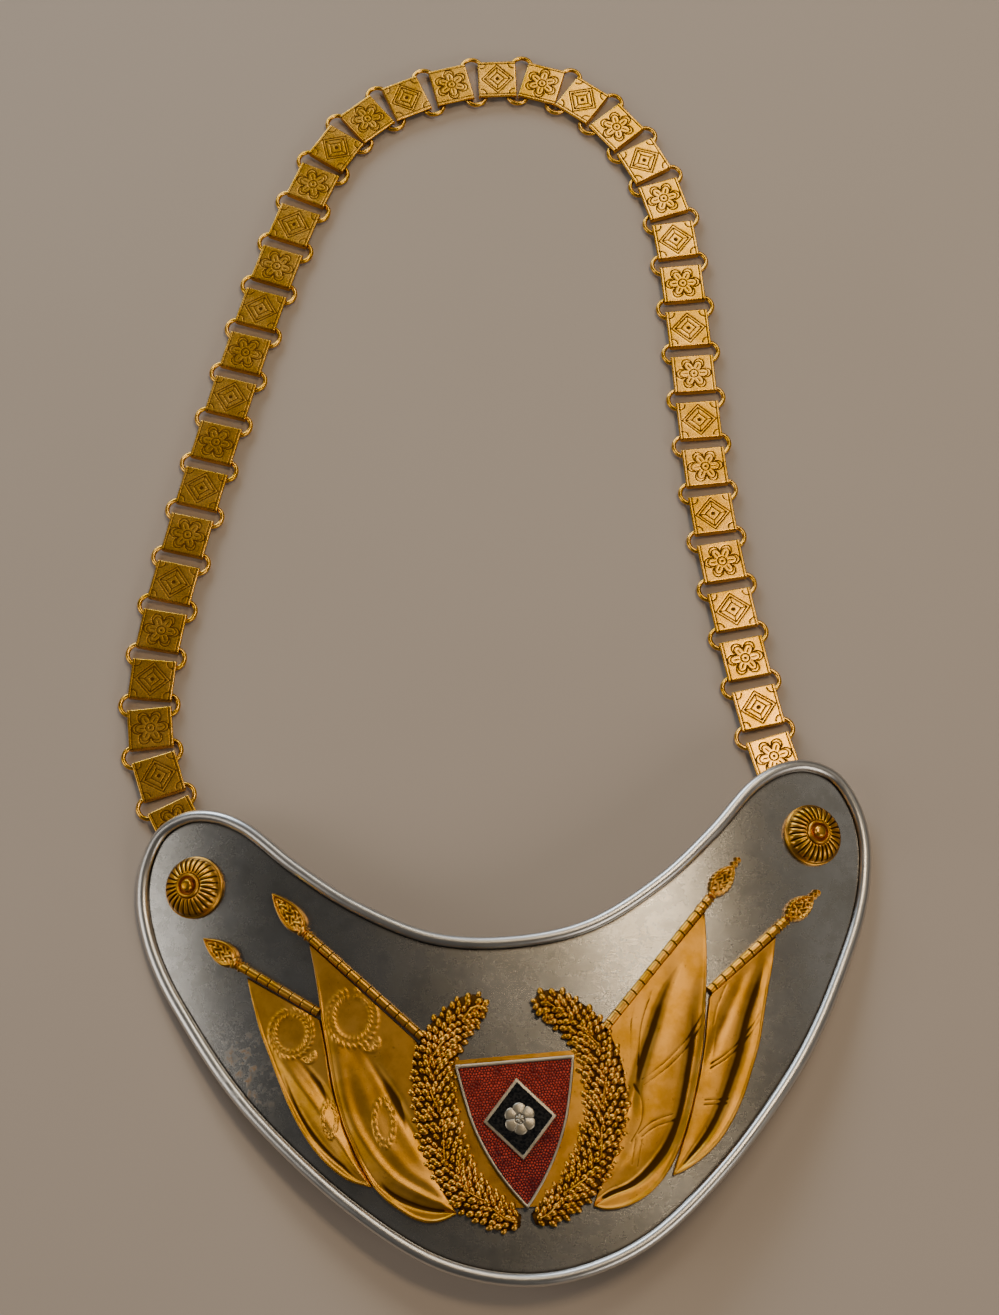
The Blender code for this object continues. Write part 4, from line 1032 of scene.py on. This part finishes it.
def wreaths():
    """Two branches: a backing band from the roll to the shield's side, a low rounded roll, and
    staggered rows of round lobes over it, larger and turned outwards at the edges, with a few
    lengths of bare stem. Levels follow the root of one less the square of the share across."""
    t, seat = sizes("trophy"), sizes("plate").seat
    spans, row_step, lobe_pitch = 240, 0.00165, 0.00180
    lobe_length, lobe_width, lobe_height = 0.00225, 0.00160, 0.00075
    roll_height = 0.0015
    rng = np.random.default_rng(11)
    for side, (word, table) in zip((-1, 1), BRANCHES.items()):
        path = evenly(curve_through(np.array(table) / 1000, 16), spans)
        mid, half = path[:, :2], path[:, 2]
        ahead = -heading(mid)
        out = right_of(ahead)
        out = out * np.sign(out[spans // 2, 0] * side)
        w = np.linspace(-1, 1, 25)
        plan = mid[:, None] + out[:, None] * (half[:, None] * 0.98 * w)[..., None]
        roll = roll_height * np.sqrt(np.clip(1 - w ** 2, 0, 1))
        # Painted shade: the roll under the lobes is marked fully, so it shows dark brown in the
        # gaps between them.
        patches = [slab_patch(on_plate(plan, seat + roll), on_plate(plan, seat - SUNK),
                              hollow=1.0), backing_band(mid, side)]
        run = np.linalg.norm(np.diff(mid, axis=0), axis=1).sum()
        for i in range(int(run / row_step)):
            k = min(spans - 1, int(spans * (i + 0.5) * row_step / run))
            m, a, o, h = mid[k], ahead[k], out[k], half[k]
            count = max(2, int(round(2 * h / lobe_pitch)))
            shares = (np.arange(count + i % 2) + 0.5 * (1 - i % 2)) * 2 / count - 1
            for share in shares:
                jog = rng.uniform(-1, 1, 4)
                share = share * 0.97 + jog[0] * 0.05
                edge = min(1.0, abs(share))
                size = 1 + 0.16 * jog[1]
                lean = math.radians(30 + 35 * edge + 18 * jog[2]) * (1 if share > 0 else -1)
                way = a * math.cos(lean) + o * math.sin(lean)
                level = seat + (t.wreath - 0.0007) * (
                    0.28 + 0.72 * math.sqrt(1 - min(0.96, edge ** 2))) - 0.0003
                spot = m + o * share * h + a * jog[3] * 0.0003
                patches.append(lobe_patch(spot, way, lobe_length * size, lobe_width * size,
                                          lobe_height, level + 0.0002 * jog[1], 0.16 * jog[2]))
        stem = np.arange(22)
        for i, start in enumerate((6, 52, 96, 140, 184, 214)):
            k = start + stem
            share = np.linspace(-0.10, 0.22, stem.size) * (1 if i % 2 else -1)
            wire = mid[k] + out[k] * (half[k] * share)[:, None]
            arch = np.sin(np.linspace(0, math.pi, stem.size))
            patches.append(plate_tube(wire, seat + t.wreath - 0.00025 + 0.00030 * arch, 0.00019))
        add_piece(f"branch_{word}", patches, "gilt_cast", ["wreath_" + word], sharp=60)


def backing_band(mid, side):
    """The smooth band between the middle of a roll and the shield's side, with the strip that
    shows above the shield's top edge."""
    seat, s = sizes("plate").seat, sizes("shield")
    strip, thickness = 0.0013, 0.0009
    level = np.linspace(-s.drop + strip, -s.drop - s.height * 0.985, 90)
    order = np.argsort(mid[:, 1])
    outer = np.interp(level, mid[order, 1], mid[order, 0])
    near = s.offset + side * (shield_side(np.minimum(level, -s.drop)) + 0.0001)
    near = np.where(level > -s.drop, s.offset, near)
    share = np.linspace(0, 1, 9)[None, :]
    x = outer[:, None] + (near - outer)[:, None] * share
    band = np.stack([x, np.broadcast_to(level[:, None], x.shape)], -1)
    return slab_patch(on_plate(band, seat + thickness), on_plate(band, seat - SUNK), hollow=0.22)


def plate_tube(plan, level, radius):
    """A thin wire on the plate, along plan points at given levels."""
    turn = turns(6)
    side = right_of(heading(plan))
    spot = plan[:, None] + side[:, None] * (radius * np.cos(turn))[None, :, None]
    ring = on_plate(spot, level[:, None] + radius * np.sin(turn))
    ends = (on_plate(plan[i], level[i]) for i in (0, -1))
    return grid_patch(with_hubs(ring, *ends), wrap_cols=True, hollow=0.0)


def heater(inset, inset_top, count=72):
    """Half of the shield's outline, moved in by a rim that is wider along the top. The points
    run from the middle of the top edge to the point."""
    s = sizes("shield")
    side = curve_through(np.array(SHIELD_OUTLINE) * (s.width / 2, -s.height), 12)
    moved = side + right_of(heading(side)) * inset
    moved = moved[(moved[:, 1] <= -inset_top) & (moved[:, 0] >= 0)]
    corner = np.array([[np.interp(-inset_top, side[::-1, 1], side[::-1, 0]) - inset,
                        -inset_top]])
    top = np.linspace((0, -inset_top), corner[0], count // 3, endpoint=False)
    point = np.array([[0.0, moved[-1, 1] - moved[-1, 0]]])
    rest = evenly(np.vstack([corner, moved, point]), count - count // 3)
    return np.vstack([top, rest])


def shield_place(points):
    """World points from the shield's own plane: middle of its top edge, level seat."""
    s = sizes("shield")
    base = np.array([s.offset, -s.drop, bend(np.array(0.0)) + sizes("plate").seat])
    return lean_to_rest(points + base)


def both_sides(half):
    """A whole outline from its right half, as one closed run."""
    return np.vstack([half, half[-2:0:-1] * (-1, 1)])


def shield_rings(sections):
    """Rings of points from sections of inset, top inset and level, for a grid that wraps."""
    return np.stack([at_level(both_sides(heater(inset, inset_top)), level)
                     for inset, inset_top, level in sections])


def shield():
    """The silver tray as rings carried round the heater's outline, the red enamel as a grid of
    small domes from the distance to jittered seeds, and the charge."""
    s = sizes("shield")
    thick, rim, top_rim = s.thick, s.rim, s.rim * 1.5
    soft, sunk, floor = 0.00016, 0.0003, s.thick - 0.0010
    nearly = soft * 0.3
    sections = [
        # inset, inset along the top, level
        (0.0, 0.0, -sunk), (0.0, 0.0, thick - soft), (nearly, nearly, thick - nearly),
        (soft, soft, thick), (rim - soft, top_rim - soft, thick),
        (rim - nearly, top_rim - nearly, thick - nearly), (rim, top_rim, thick - soft),
        (rim, top_rim, floor)]
    middle = np.array([0, -s.height * 0.4, 0])
    rings = with_hubs(shield_rings(sections), middle + (0, 0, -sunk), middle + (0, 0, floor))
    # Tarnish and painted shade: the tray's outer side, inner wall and floor are darkened, and the
    # top of the rim is left light.
    mark = np.array([1, 0.6, 0.5, 0.1, 0.0, 0.05, 0.35, 0.8, 1.0, 1.0])[:, None]
    add_piece("shield_tray", [grid_patch(shield_place(rings), wrap_cols=True, hollow=mark)],
              "silver", ["shield"], sharp=50)
    # The enamel: rays from the tray's middle to the rim, each point's height from its pebble.
    room, under = 0.00005, thick - 0.0011
    outline = both_sides(heater(rim - room, top_rim - room, 420))
    share = np.linspace(0, 1, 118)[:, None, None]
    plan = middle[:2] + (outline[None] - middle[:2]) * share
    dome, gap = pebbles(plan, s.pebble, 5)
    level = thick - 0.00040 + 0.00016 * dome
    level[-1] = thick - 0.0006
    skirt = np.stack([at_level(outline, under),
                      np.broadcast_to(middle + (0, 0, under), (len(outline), 3))])
    marks = np.concatenate([gap, np.ones((2, len(outline)))])
    points = shield_place(np.concatenate([at_level(plan, level), skirt]))
    add_piece("shield_red", [grid_patch(points, wrap_cols=True, hollow=marks)], "enamel",
              ["shield_enamel"], sharp=70)
    charge(middle)


def pebbles(plan, pitch, seed):
    """Domes over jittered seeds: each point's height falls with the distance to its nearest
    seed, and the mark rises where it is nearly as close to the next one."""
    rng = np.random.default_rng(seed)
    cells, far = 96, 9.0
    jitter = rng.uniform(-0.28, 0.28, (cells, cells, 2))
    row_height = pitch * 0.866
    row = np.floor(plan[..., 1] / row_height).astype(int)
    nearest = np.full(plan.shape[:2], far)
    second = nearest.copy()
    for dr in (-1, 0, 1, 2):
        r = row + dr
        shift = (r % 2) * 0.5
        col = np.floor(plan[..., 0] / pitch - shift).astype(int)
        for dc in (-1, 0, 1, 2):
            c = col + dc
            jog = jitter[r % cells, c % cells]
            x = (c + shift + jog[..., 0]) * pitch
            y = r * row_height + jog[..., 1] * pitch
            reach = np.hypot(plan[..., 0] - x, plan[..., 1] - y) / pitch
            second = np.minimum(second, np.maximum(nearest, reach))
            nearest = np.minimum(nearest, reach)
    return np.clip(1 - (nearest / 0.66) ** 2, 0, 1) ** 0.8, np.clip(
        1 - (second - nearest) * 3.2, 0, 1)


def charge(middle):
    """A black lozenge with a raised silver edge and a silver rosette of six petals."""
    s = sizes("shield")
    base = s.thick + 0.0001
    corners = np.array([(0, s.charge_height / 2), (s.charge_width / 2, 0),
                        (0, -s.charge_height / 2), (-s.charge_width / 2, 0)])
    around = np.concatenate([np.linspace(p, q, 12, endpoint=False)
                             for p, q in zip(corners, np.roll(corners, -1, 0))])

    def ring(scale, level):
        """The lozenge's outline at a share of its size."""
        return at_level(around * scale + middle[:2], level)

    foot, field = base - 0.0006, base + 0.00030
    black = [ring(0.0, foot), ring(0.93, foot), ring(0.93, base + 0.00022), ring(0.90, field),
             ring(0.87, field), ring(0.80, field), ring(0.0, field)]
    add_piece("charge_field", [grid_patch(shield_place(np.stack(black)), wrap_cols=True)],
              "black", ["shield_charge"])
    edge = [ring(1.0, foot), ring(1.0, field), ring(0.985, base + 0.00046),
            ring(0.90, base + 0.00050), ring(0.885, base + 0.00040), ring(0.885, foot)]
    add_piece("charge_edge", [grid_patch(shield_place(np.stack(edge)), wrap_rows=True,
                                         wrap_cols=True, hollow=0.12)], "silver")
    turn = turns(144)[None, :]
    u = np.linspace(0, 1, 30)[:, None]
    rosette_radius = 0.0042
    reach = rosette_radius * (0.80 + 0.20 * np.abs(np.cos(3 * turn)) ** 0.6)
    flat = np.stack([reach * u * np.sin(turn), reach * u * np.cos(turn)], -1) + middle[:2]
    petal = np.abs(np.cos(3 * turn)) ** 0.5
    lift = field + 0.00042 * np.sqrt(np.clip(1 - u ** 4, 0, 1)) * (
        0.55 + 0.45 * petal) - 0.00020 * bump(u, 0.30, 0.05) + 0.00012 * bump(u, 0.0, 0.22)
    lift[-1] = base + 0.0002
    # Tarnish and painted shade between the petals and in the groove round the middle.
    mark = np.clip(1.1 * (1 - petal) * u + 0.9 * bump(u, 0.31, 0.06), 0, 1)
    hub = np.broadcast_to(np.append(middle[:2], base + 0.0001), (1, turn.size, 3))
    points = np.concatenate([at_level(flat, lift), hub])
    mark = np.concatenate([mark, np.ones(turn.shape)])
    add_piece("charge_rosette", [grid_patch(shield_place(points), wrap_cols=True, hollow=mark)],
              "silver")


# The chain.


def link_places():
    """The middle and direction of each link, from the four corners of its solid's flat top."""
    c = sizes("chain")
    middles, ways = [], []
    for i in range(1, LINK_COUNT + 1):
        mesh = NODES[f"link_{i:02d}"].data
        co = np.zeros(len(mesh.vertices) * 3, np.float32)
        mesh.vertices.foreach_get("co", co)
        co = co.reshape(-1, 3)
        top = np.unique(np.round(co[np.abs(co[:, 2] - c.height) < 4e-6][:, :2], 6), axis=0)
        middle = top.mean(0)
        middles.append(middle)
        values, axes = np.linalg.eigh(np.cov((top - middle).T))
        ways.append(axes[:, 0])
    middles, ways = np.array(middles), np.array(ways)
    ahead = np.vstack([np.diff(middles, axis=0), middles[-1:] - middles[-2:-1]])
    return middles, ways * np.sign((ways * ahead).sum(1))[:, None]


def ring_reach(turn):
    """From a link's middle to the middle of a ring that it holds, at half their turn: the bar's
    place against the folded end, less the room that the turned bar's corners need."""
    c = sizes("chain")
    bar_reach = (c.ring_length - c.wire) / 2
    straight = (c.ring_width - c.ring_length) / 2
    past = min(bar_reach, max(0.0, c.strip / 2 - straight))
    slip = c.strip / 2 * math.tan(abs(turn)) + bar_reach - math.sqrt(bar_reach ** 2 - past ** 2)
    bar = c.length / 2 - c.sheet - c.gap - c.wire / 2 - slip
    return bar + bar_reach * math.cos(turn)


def set_down(points, middle, way):
    """Put points of a link's own frame, +Y along the chain, at its place on the surface."""
    flat = points[..., :1] * right_of(way) + points[..., 1:2] * way + middle
    return at_level(flat, points[..., 2])


def cut_line(value, x, y, width):
    """A thin line where a value over the face is zero: a bell of the value's size over the size
    of its slope."""
    slope = np.hypot(*np.gradient(value, x[:, 0], y[0]))
    return bump(np.abs(value) / np.maximum(slope, 1e-9), 0, width)


def rosette_lines(x, y):
    """Engraved outlines of six petals with a vein in each, round a small ring."""
    r, turn = np.hypot(x, y), np.arctan2(y, x)
    petal = np.abs(np.cos(3 * turn)) ** 0.7
    wide, outer_reach, inner_reach, ring_radius = LINE_WIDTH, 0.0051, 0.0042, 0.00125
    lines = cut_line(r - outer_reach * (0.50 + 0.50 * petal), x, y, wide)
    inner = cut_line(r - inner_reach * (0.44 + 0.56 * petal), x, y, wide) * (r > 0.0015)
    ring = np.maximum(bump(r, ring_radius, wide), 1 - smooth_step(r, 0.0003, 0.0005))
    spoke = np.abs(np.sin(3 * turn)) * r / 3
    vein = bump(spoke, 0, wide) * (petal > 0.5) * smooth_step(r, 0.0016, 0.0019) * (
        1 - smooth_step(r, 0.0030, 0.0036))
    return np.maximum.reduce([lines, 0.85 * inner, ring, 0.85 * vein])


def lozenge_lines(x, y):
    """Engraved outlines of lozenges within each other, and a quarter ring at each corner."""
    half_across, half_along, corner_radius = 0.0050, 0.0049, 0.0015
    reach = np.abs(x) / half_across + np.abs(y) / half_along
    lines = [cut_line(reach - at, x, y, LINE_WIDTH) for at in (1.0, 0.80, 0.44)]
    corner = np.hypot(np.abs(x) - 0.0052, np.abs(y) - 0.0050)
    lines += [bump(corner, corner_radius, LINE_WIDTH),
              1 - smooth_step(np.hypot(x, y), 0.0005, 0.0007)]
    between = bump(np.minimum(np.abs(x), np.abs(y)), 0, 0.00012) * (reach > 0.46) * (reach < 0.79)
    return np.maximum.reduce([*lines, 0.8 * between])


def link_parts(motif):
    """One link in its own frame: a soft-edged face plate with an engraved motif and a groove
    along each side, a lip down each end, and two strips folded down and under."""
    c = sizes("chain")
    half_w, half_l, soft, cut_depth = c.width / 2, c.length / 2, 0.00028, 0.00004
    edge = soft * (1 - np.cos(np.linspace(0, math.pi / 2, 4)))

    def rule(half, count):
        """Places over the face, close together along its soft edges."""
        inside = np.linspace(-half + soft, half - soft, count)[1:-1]
        return np.concatenate([-half + edge, inside, (half - edge)[::-1]])

    x, y = np.meshgrid(rule(half_w, 72), rule(half_l, 66), indexing="ij")
    near = np.minimum(half_w - np.abs(x), half_l - np.abs(y))
    fall = soft - np.sqrt(np.clip(soft ** 2 - np.clip(soft - near, 0, soft) ** 2, 0, None))
    groove = bump(half_w - np.abs(x), 0.00085, 0.00016)
    cut = np.maximum(motif(x, y) * smooth_step(near, 0.0004, 0.0006), groove)
    top = np.stack([x, y, c.height - fall - cut_depth * cut], -1)
    # Patina and painted shade in the engraved lines and side grooves, and painted shade where the
    # face rounds over at its edges.
    hollow = np.clip(cut * 1.9 + fall / soft * 0.45, 0, 1)
    parts = [grid_patch(top, hollow=hollow)]
    rim = np.concatenate([top[0, :-1], top[:-1, -1], top[-1, :0:-1], top[:0:-1, 0]])
    under = rim.copy()
    under[:, 2] = c.height - c.top
    hub = np.broadcast_to((0.0, 0.0, c.height - c.top), rim.shape)
    shade = np.array([0.45, 0.8, 1.0])[:, None]
    parts.append(grid_patch(np.stack([rim, under, hub]), wrap_cols=True, hollow=shade))
    # A folded strip: a rounded path from under the face down the end and back under.
    bend_radius = 0.0007
    out, shoulder = half_l - c.gap / 4 - c.sheet / 2, 0.0015
    turn = np.linspace(0, math.pi / 2, 6)
    corner_y = out - bend_radius + bend_radius * np.cos(turn)
    corner_z = c.sheet / 2 + bend_radius - bend_radius * np.sin(turn)
    path_y = np.concatenate([[out, out], corner_y, [half_l - c.lip]])
    path_z = np.concatenate([[c.height - c.top * 0.7, shoulder], corner_z, [c.sheet / 2]])
    ny, nz = right_of(heading(np.stack([path_y, path_z], -1))).T
    wide = np.array([-1, -0.94, 0.94, 1])[None, :] * c.strip / 2
    thin = np.array([0.6, 1, 1, 0.6])[None, :] * c.sheet / 2
    lip_z = np.array([c.height - c.top * 0.8, 0.0016, 0.0010, 0.00075])
    lip_half = half_w - np.array([0.0001, 0.0001, 0.0002, 0.0006])
    across = np.array([-1, -0.97, 0.97, 1])[None, :] * lip_half[:, None]
    # Patina and painted shade: the folded strips and the lips down the ends are darkened evenly.
    for side in (1, -1):
        faces = [np.stack(np.broadcast_arrays(
            wide, side * (path_y[:, None] + way * ny[:, None] * thin),
            path_z[:, None] + way * nz[:, None] * thin), -1) for way in (1, -1)]
        parts.append(slab_patch(*faces, hollow=0.40))
        faces = [np.stack(np.broadcast_arrays(across, side * (half_l - depth), lip_z[:, None]), -1)
                 for depth in (0.00003, 0.00042)]
        parts.append(slab_patch(*faces, hollow=0.42))
    return parts


def ring_part(lean, middle, way):
    """An oval ring at its place: wire carried round two straights and two half circles, and
    tilted about the chain's cross direction where a hook lifts one bar."""
    c = sizes("chain")
    reach = (c.ring_length - c.wire) / 2
    straight = (c.ring_width - c.ring_length) / 2
    turn = np.linspace(-math.pi / 2, math.pi / 2, 20)
    end = np.stack([straight + reach * np.cos(turn), reach * np.sin(turn)], -1)
    bar = np.linspace((straight, reach), (-straight, reach), 8)[1:-1]
    path = np.vstack([end, bar, -end, -bar])
    side = right_of(heading(path, closed=True))
    around = turns(12)
    flat = path[:, None] + side[:, None] * (c.wire / 2 * np.cos(around))[None, :, None]
    z = np.broadcast_to(c.wire / 2 * np.sin(around), flat.shape[:2])
    pitch = lean * math.asin(c.end_lift / (2 * reach))
    level = c.sheet + c.gap + c.wire / 2 + abs(lean) * c.end_lift / 2
    y = flat[..., 1] * math.cos(pitch) - z * math.sin(pitch)
    z = flat[..., 1] * math.sin(pitch) + z * math.cos(pitch) + level
    # Painted shade: the ring darkens where it runs in under the link's folded strip.
    shade_under_strip = smooth_step(-np.abs(path[:, 0]), -c.strip / 2 - 0.001, -c.strip / 2) * 0.6
    return grid_patch(set_down(np.stack([flat[..., 0], y, z], -1), middle, way),
                      wrap_rows=True, wrap_cols=True, hollow=shade_under_strip[:, None])


def chain():
    """Each link with the ring that follows it, and the first ring by itself. The faces carry a
    rosette and a lozenge in turn."""
    middles, ways = link_places()
    motifs = [link_parts(rosette_lines), link_parts(lozenge_lines)]
    first = middles[0] - ways[0] * ring_reach(0.0)
    add_piece("first_ring", [ring_part(-1, first, ways[0])], "gilt_chain", ["end_ring"])
    for i in range(LINK_COUNT):
        parts = [(set_down(p, middles[i], ways[i]), q, m) for p, q, m in motifs[i % 2]]
        after = ways[min(i + 1, LINK_COUNT - 1)]
        turn = math.acos(min(1.0, float(ways[i] @ after))) / 2
        middle = middles[i] + ways[i] * ring_reach(turn)
        ahead = (ways[i] + after) / np.linalg.norm(ways[i] + after)
        parts.append(ring_part(int(i == LINK_COUNT - 1), middle, ahead))
        add_piece(f"box_link_{i + 1:02d}", parts, "gilt_chain", [f"link_{i + 1:02d}"])


def hooks():
    """The hooks behind the bosses keep their solids and get the worn brass."""
    for name in ("hook_left", "hook_right"):
        node = NODES[name]
        node.data.materials.clear()
        node.data.materials.append(finish("hook"))


# The stage.

LAMPS = [
    # name, place, target, size, watts, colour
    ("window", (-0.45, 1.35, 0.62), (0.0, -0.05, 0.0), (0.9, 0.5), 13, (0.78, 0.89, 1.0)),
    ("ceiling", (0.35, 0.20, 1.20), (0.03, -0.06, 0), (0.34, 0.18), 4.2, (1.0, 0.77, 0.50)),
    ("north_ceiling", (0.42, 0.90, 1.15), (0.05, 0.10, 0), (0.50, 0.35), 4.0,
     (1.0, 0.88, 0.70)),
    ("east_wall", (1.25, 0.25, 0.95), (0.0, -0.05, 0.0), (0.8, 0.6), 0.5, (1.0, 0.90, 0.76)),
    ("room", (0.85, -1.10, 0.70), (0.0, -0.05, 0.0), (0.8, 0.5), 6, (1.0, 0.89, 0.76)),
    ("far_wall", (-1.30, -0.10, 0.60), (0.0, -0.05, 0.0), (0.6, 0.8), 5, (1.0, 0.92, 0.82)),
]


def add_lamp(name, place, target, size, power, colour):
    """A soft rectangular lamp that faces its target."""
    data = bpy.data.lights.new(name, "AREA")
    data.shape, data.size, data.size_y = "RECTANGLE", size[0], size[1]
    data.energy, data.color = power, colour
    lamp = bpy.data.objects.new(name, data)
    lamp.location = place
    lamp.rotation_euler = (Vector(target) - Vector(place)).to_track_quat("-Z", "Y").to_euler()
    bpy.context.scene.collection.objects.link(lamp)


def stage():
    """A plain pale floor, soft lamps, and the camera at the photograph's angle."""
    half_span, below = 2.5, 0.00002
    span = np.linspace(-half_span, half_span, 9)
    plan = np.stack(np.meshgrid(span, span, indexing="ij"), -1)
    points, quads, _ = grid_patch(at_level(plan, -below))
    mesh = bpy.data.meshes.new("floor")
    mesh.from_pydata(points.tolist(), [], quads.tolist())
    mesh.update()
    floor = bpy.data.objects.new("floor", mesh)
    bpy.context.scene.collection.objects.link(floor)
    colour = sizes("finish").floor
    material, tree, shader = new_finish("Pale floor", colour, 0.85, 0.0)
    cloud = noise(tree, object_place(tree), 9.0, 3.0)
    body = mix_colours(tree, ramp(tree, cloud, 0.3, 0.7, 0.0, 0.25), (*colour, 1),
                       tinted(colour, 0.92, 0.91, 0.89))
    set_inputs(tree, shader, Base_Color=body)
    mesh.materials.append(material)
    if mesh.polygons[0].normal.z < 0:
        mesh.flip_normals()

    for row in LAMPS:
        add_lamp(*row)
    world = bpy.data.worlds.new("room light")
    world.use_nodes = True
    sky = world.node_tree.nodes["Background"]
    sky.inputs["Color"].default_value = (0.82, 0.78, 0.74, 1)
    sky.inputs["Strength"].default_value = 0.07
    bpy.context.scene.world = world

    s = sizes("stage")
    data = bpy.data.cameras.new("camera")
    data.sensor_width, data.lens = 36.0, s.lens
    data.clip_start, data.clip_end = 0.01, 20.0
    camera = bpy.data.objects.new("camera", data)
    camera.location = s.eye
    way = Vector(s.target) - Vector(s.eye)
    camera.rotation_euler = way.to_track_quat("-Z", "Y").to_euler()
    bpy.context.scene.collection.objects.link(camera)
    bpy.context.scene.camera = camera


def step_operator(name, label, words, step):
    """An operator that runs one step of the build."""

    def execute(self, context):
        """Run the step."""
        step()
        return {"FINISHED"}

    return type(f"GORGET_OT_{name}", (bpy.types.Operator,), {
        "__doc__": words, "bl_idname": f"gorget.{name}", "bl_label": label, "execute": execute})


OPERATORS = [step_operator(*row) for row in (
    ("stage", "Stage", "Set up the floor, the lamps and the camera", stage),
    ("plate", "Plate", "Make the satin plate with its rolled rim", breastplate),
    ("bosses", "Bosses", "Make the two petalled bosses", bosses),
    ("flags", "Flags", "Make the four cast flags", flags),
    ("staffs", "Staffs", "Make the notched staffs and their finials", staffs),
    ("wreaths", "Wreath", "Make the two branches of the wreath", wreaths),
    ("shield", "Shield", "Make the shield, its enamel and its charge", shield),
    ("chain", "Chain", "Make the box links and rings", chain),
    ("hooks", "Hooks", "Finish the hidden hooks", hooks),
)]


class GORGET_PT_panel(bpy.types.Panel):
    """The gorget's sizes and pieces"""

    bl_idname = "GORGET_PT_panel"
    bl_label = "Parade Gorget"
    bl_space_type = "VIEW_3D"
    bl_region_type = "UI"
    bl_category = "Gorget"

    def draw(self, context):
        for name in GROUPS:
            box = self.layout.box()
            box.label(text=name.replace("gorget_", "").title())
            group = getattr(context.scene, name)
            for key in group.__annotations__:
                box.prop(group, key)
        for operator in OPERATORS:
            self.layout.operator(operator.bl_idname)


def register():
    """Add the property groups, operators and panel."""
    for cls in (*GROUPS.values(), *OPERATORS, GORGET_PT_panel):
        bpy.utils.register_class(cls)
    for name, cls in GROUPS.items():
        setattr(bpy.types.Scene, name, PointerProperty(type=cls))


def unregister():
    """Take them away again."""
    for name in GROUPS:
        delattr(bpy.types.Scene, name)
    for cls in reversed((*GROUPS.values(), *OPERATORS, GORGET_PT_panel)):
        bpy.utils.unregister_class(cls)


def main():
    """Make every piece in order and note the size before and after."""
    register()
    for operator in OPERATORS:
        area, verb = operator.bl_idname.split(".")
        getattr(getattr(bpy.ops, area), verb)()


if __name__ == "__main__":
    main()
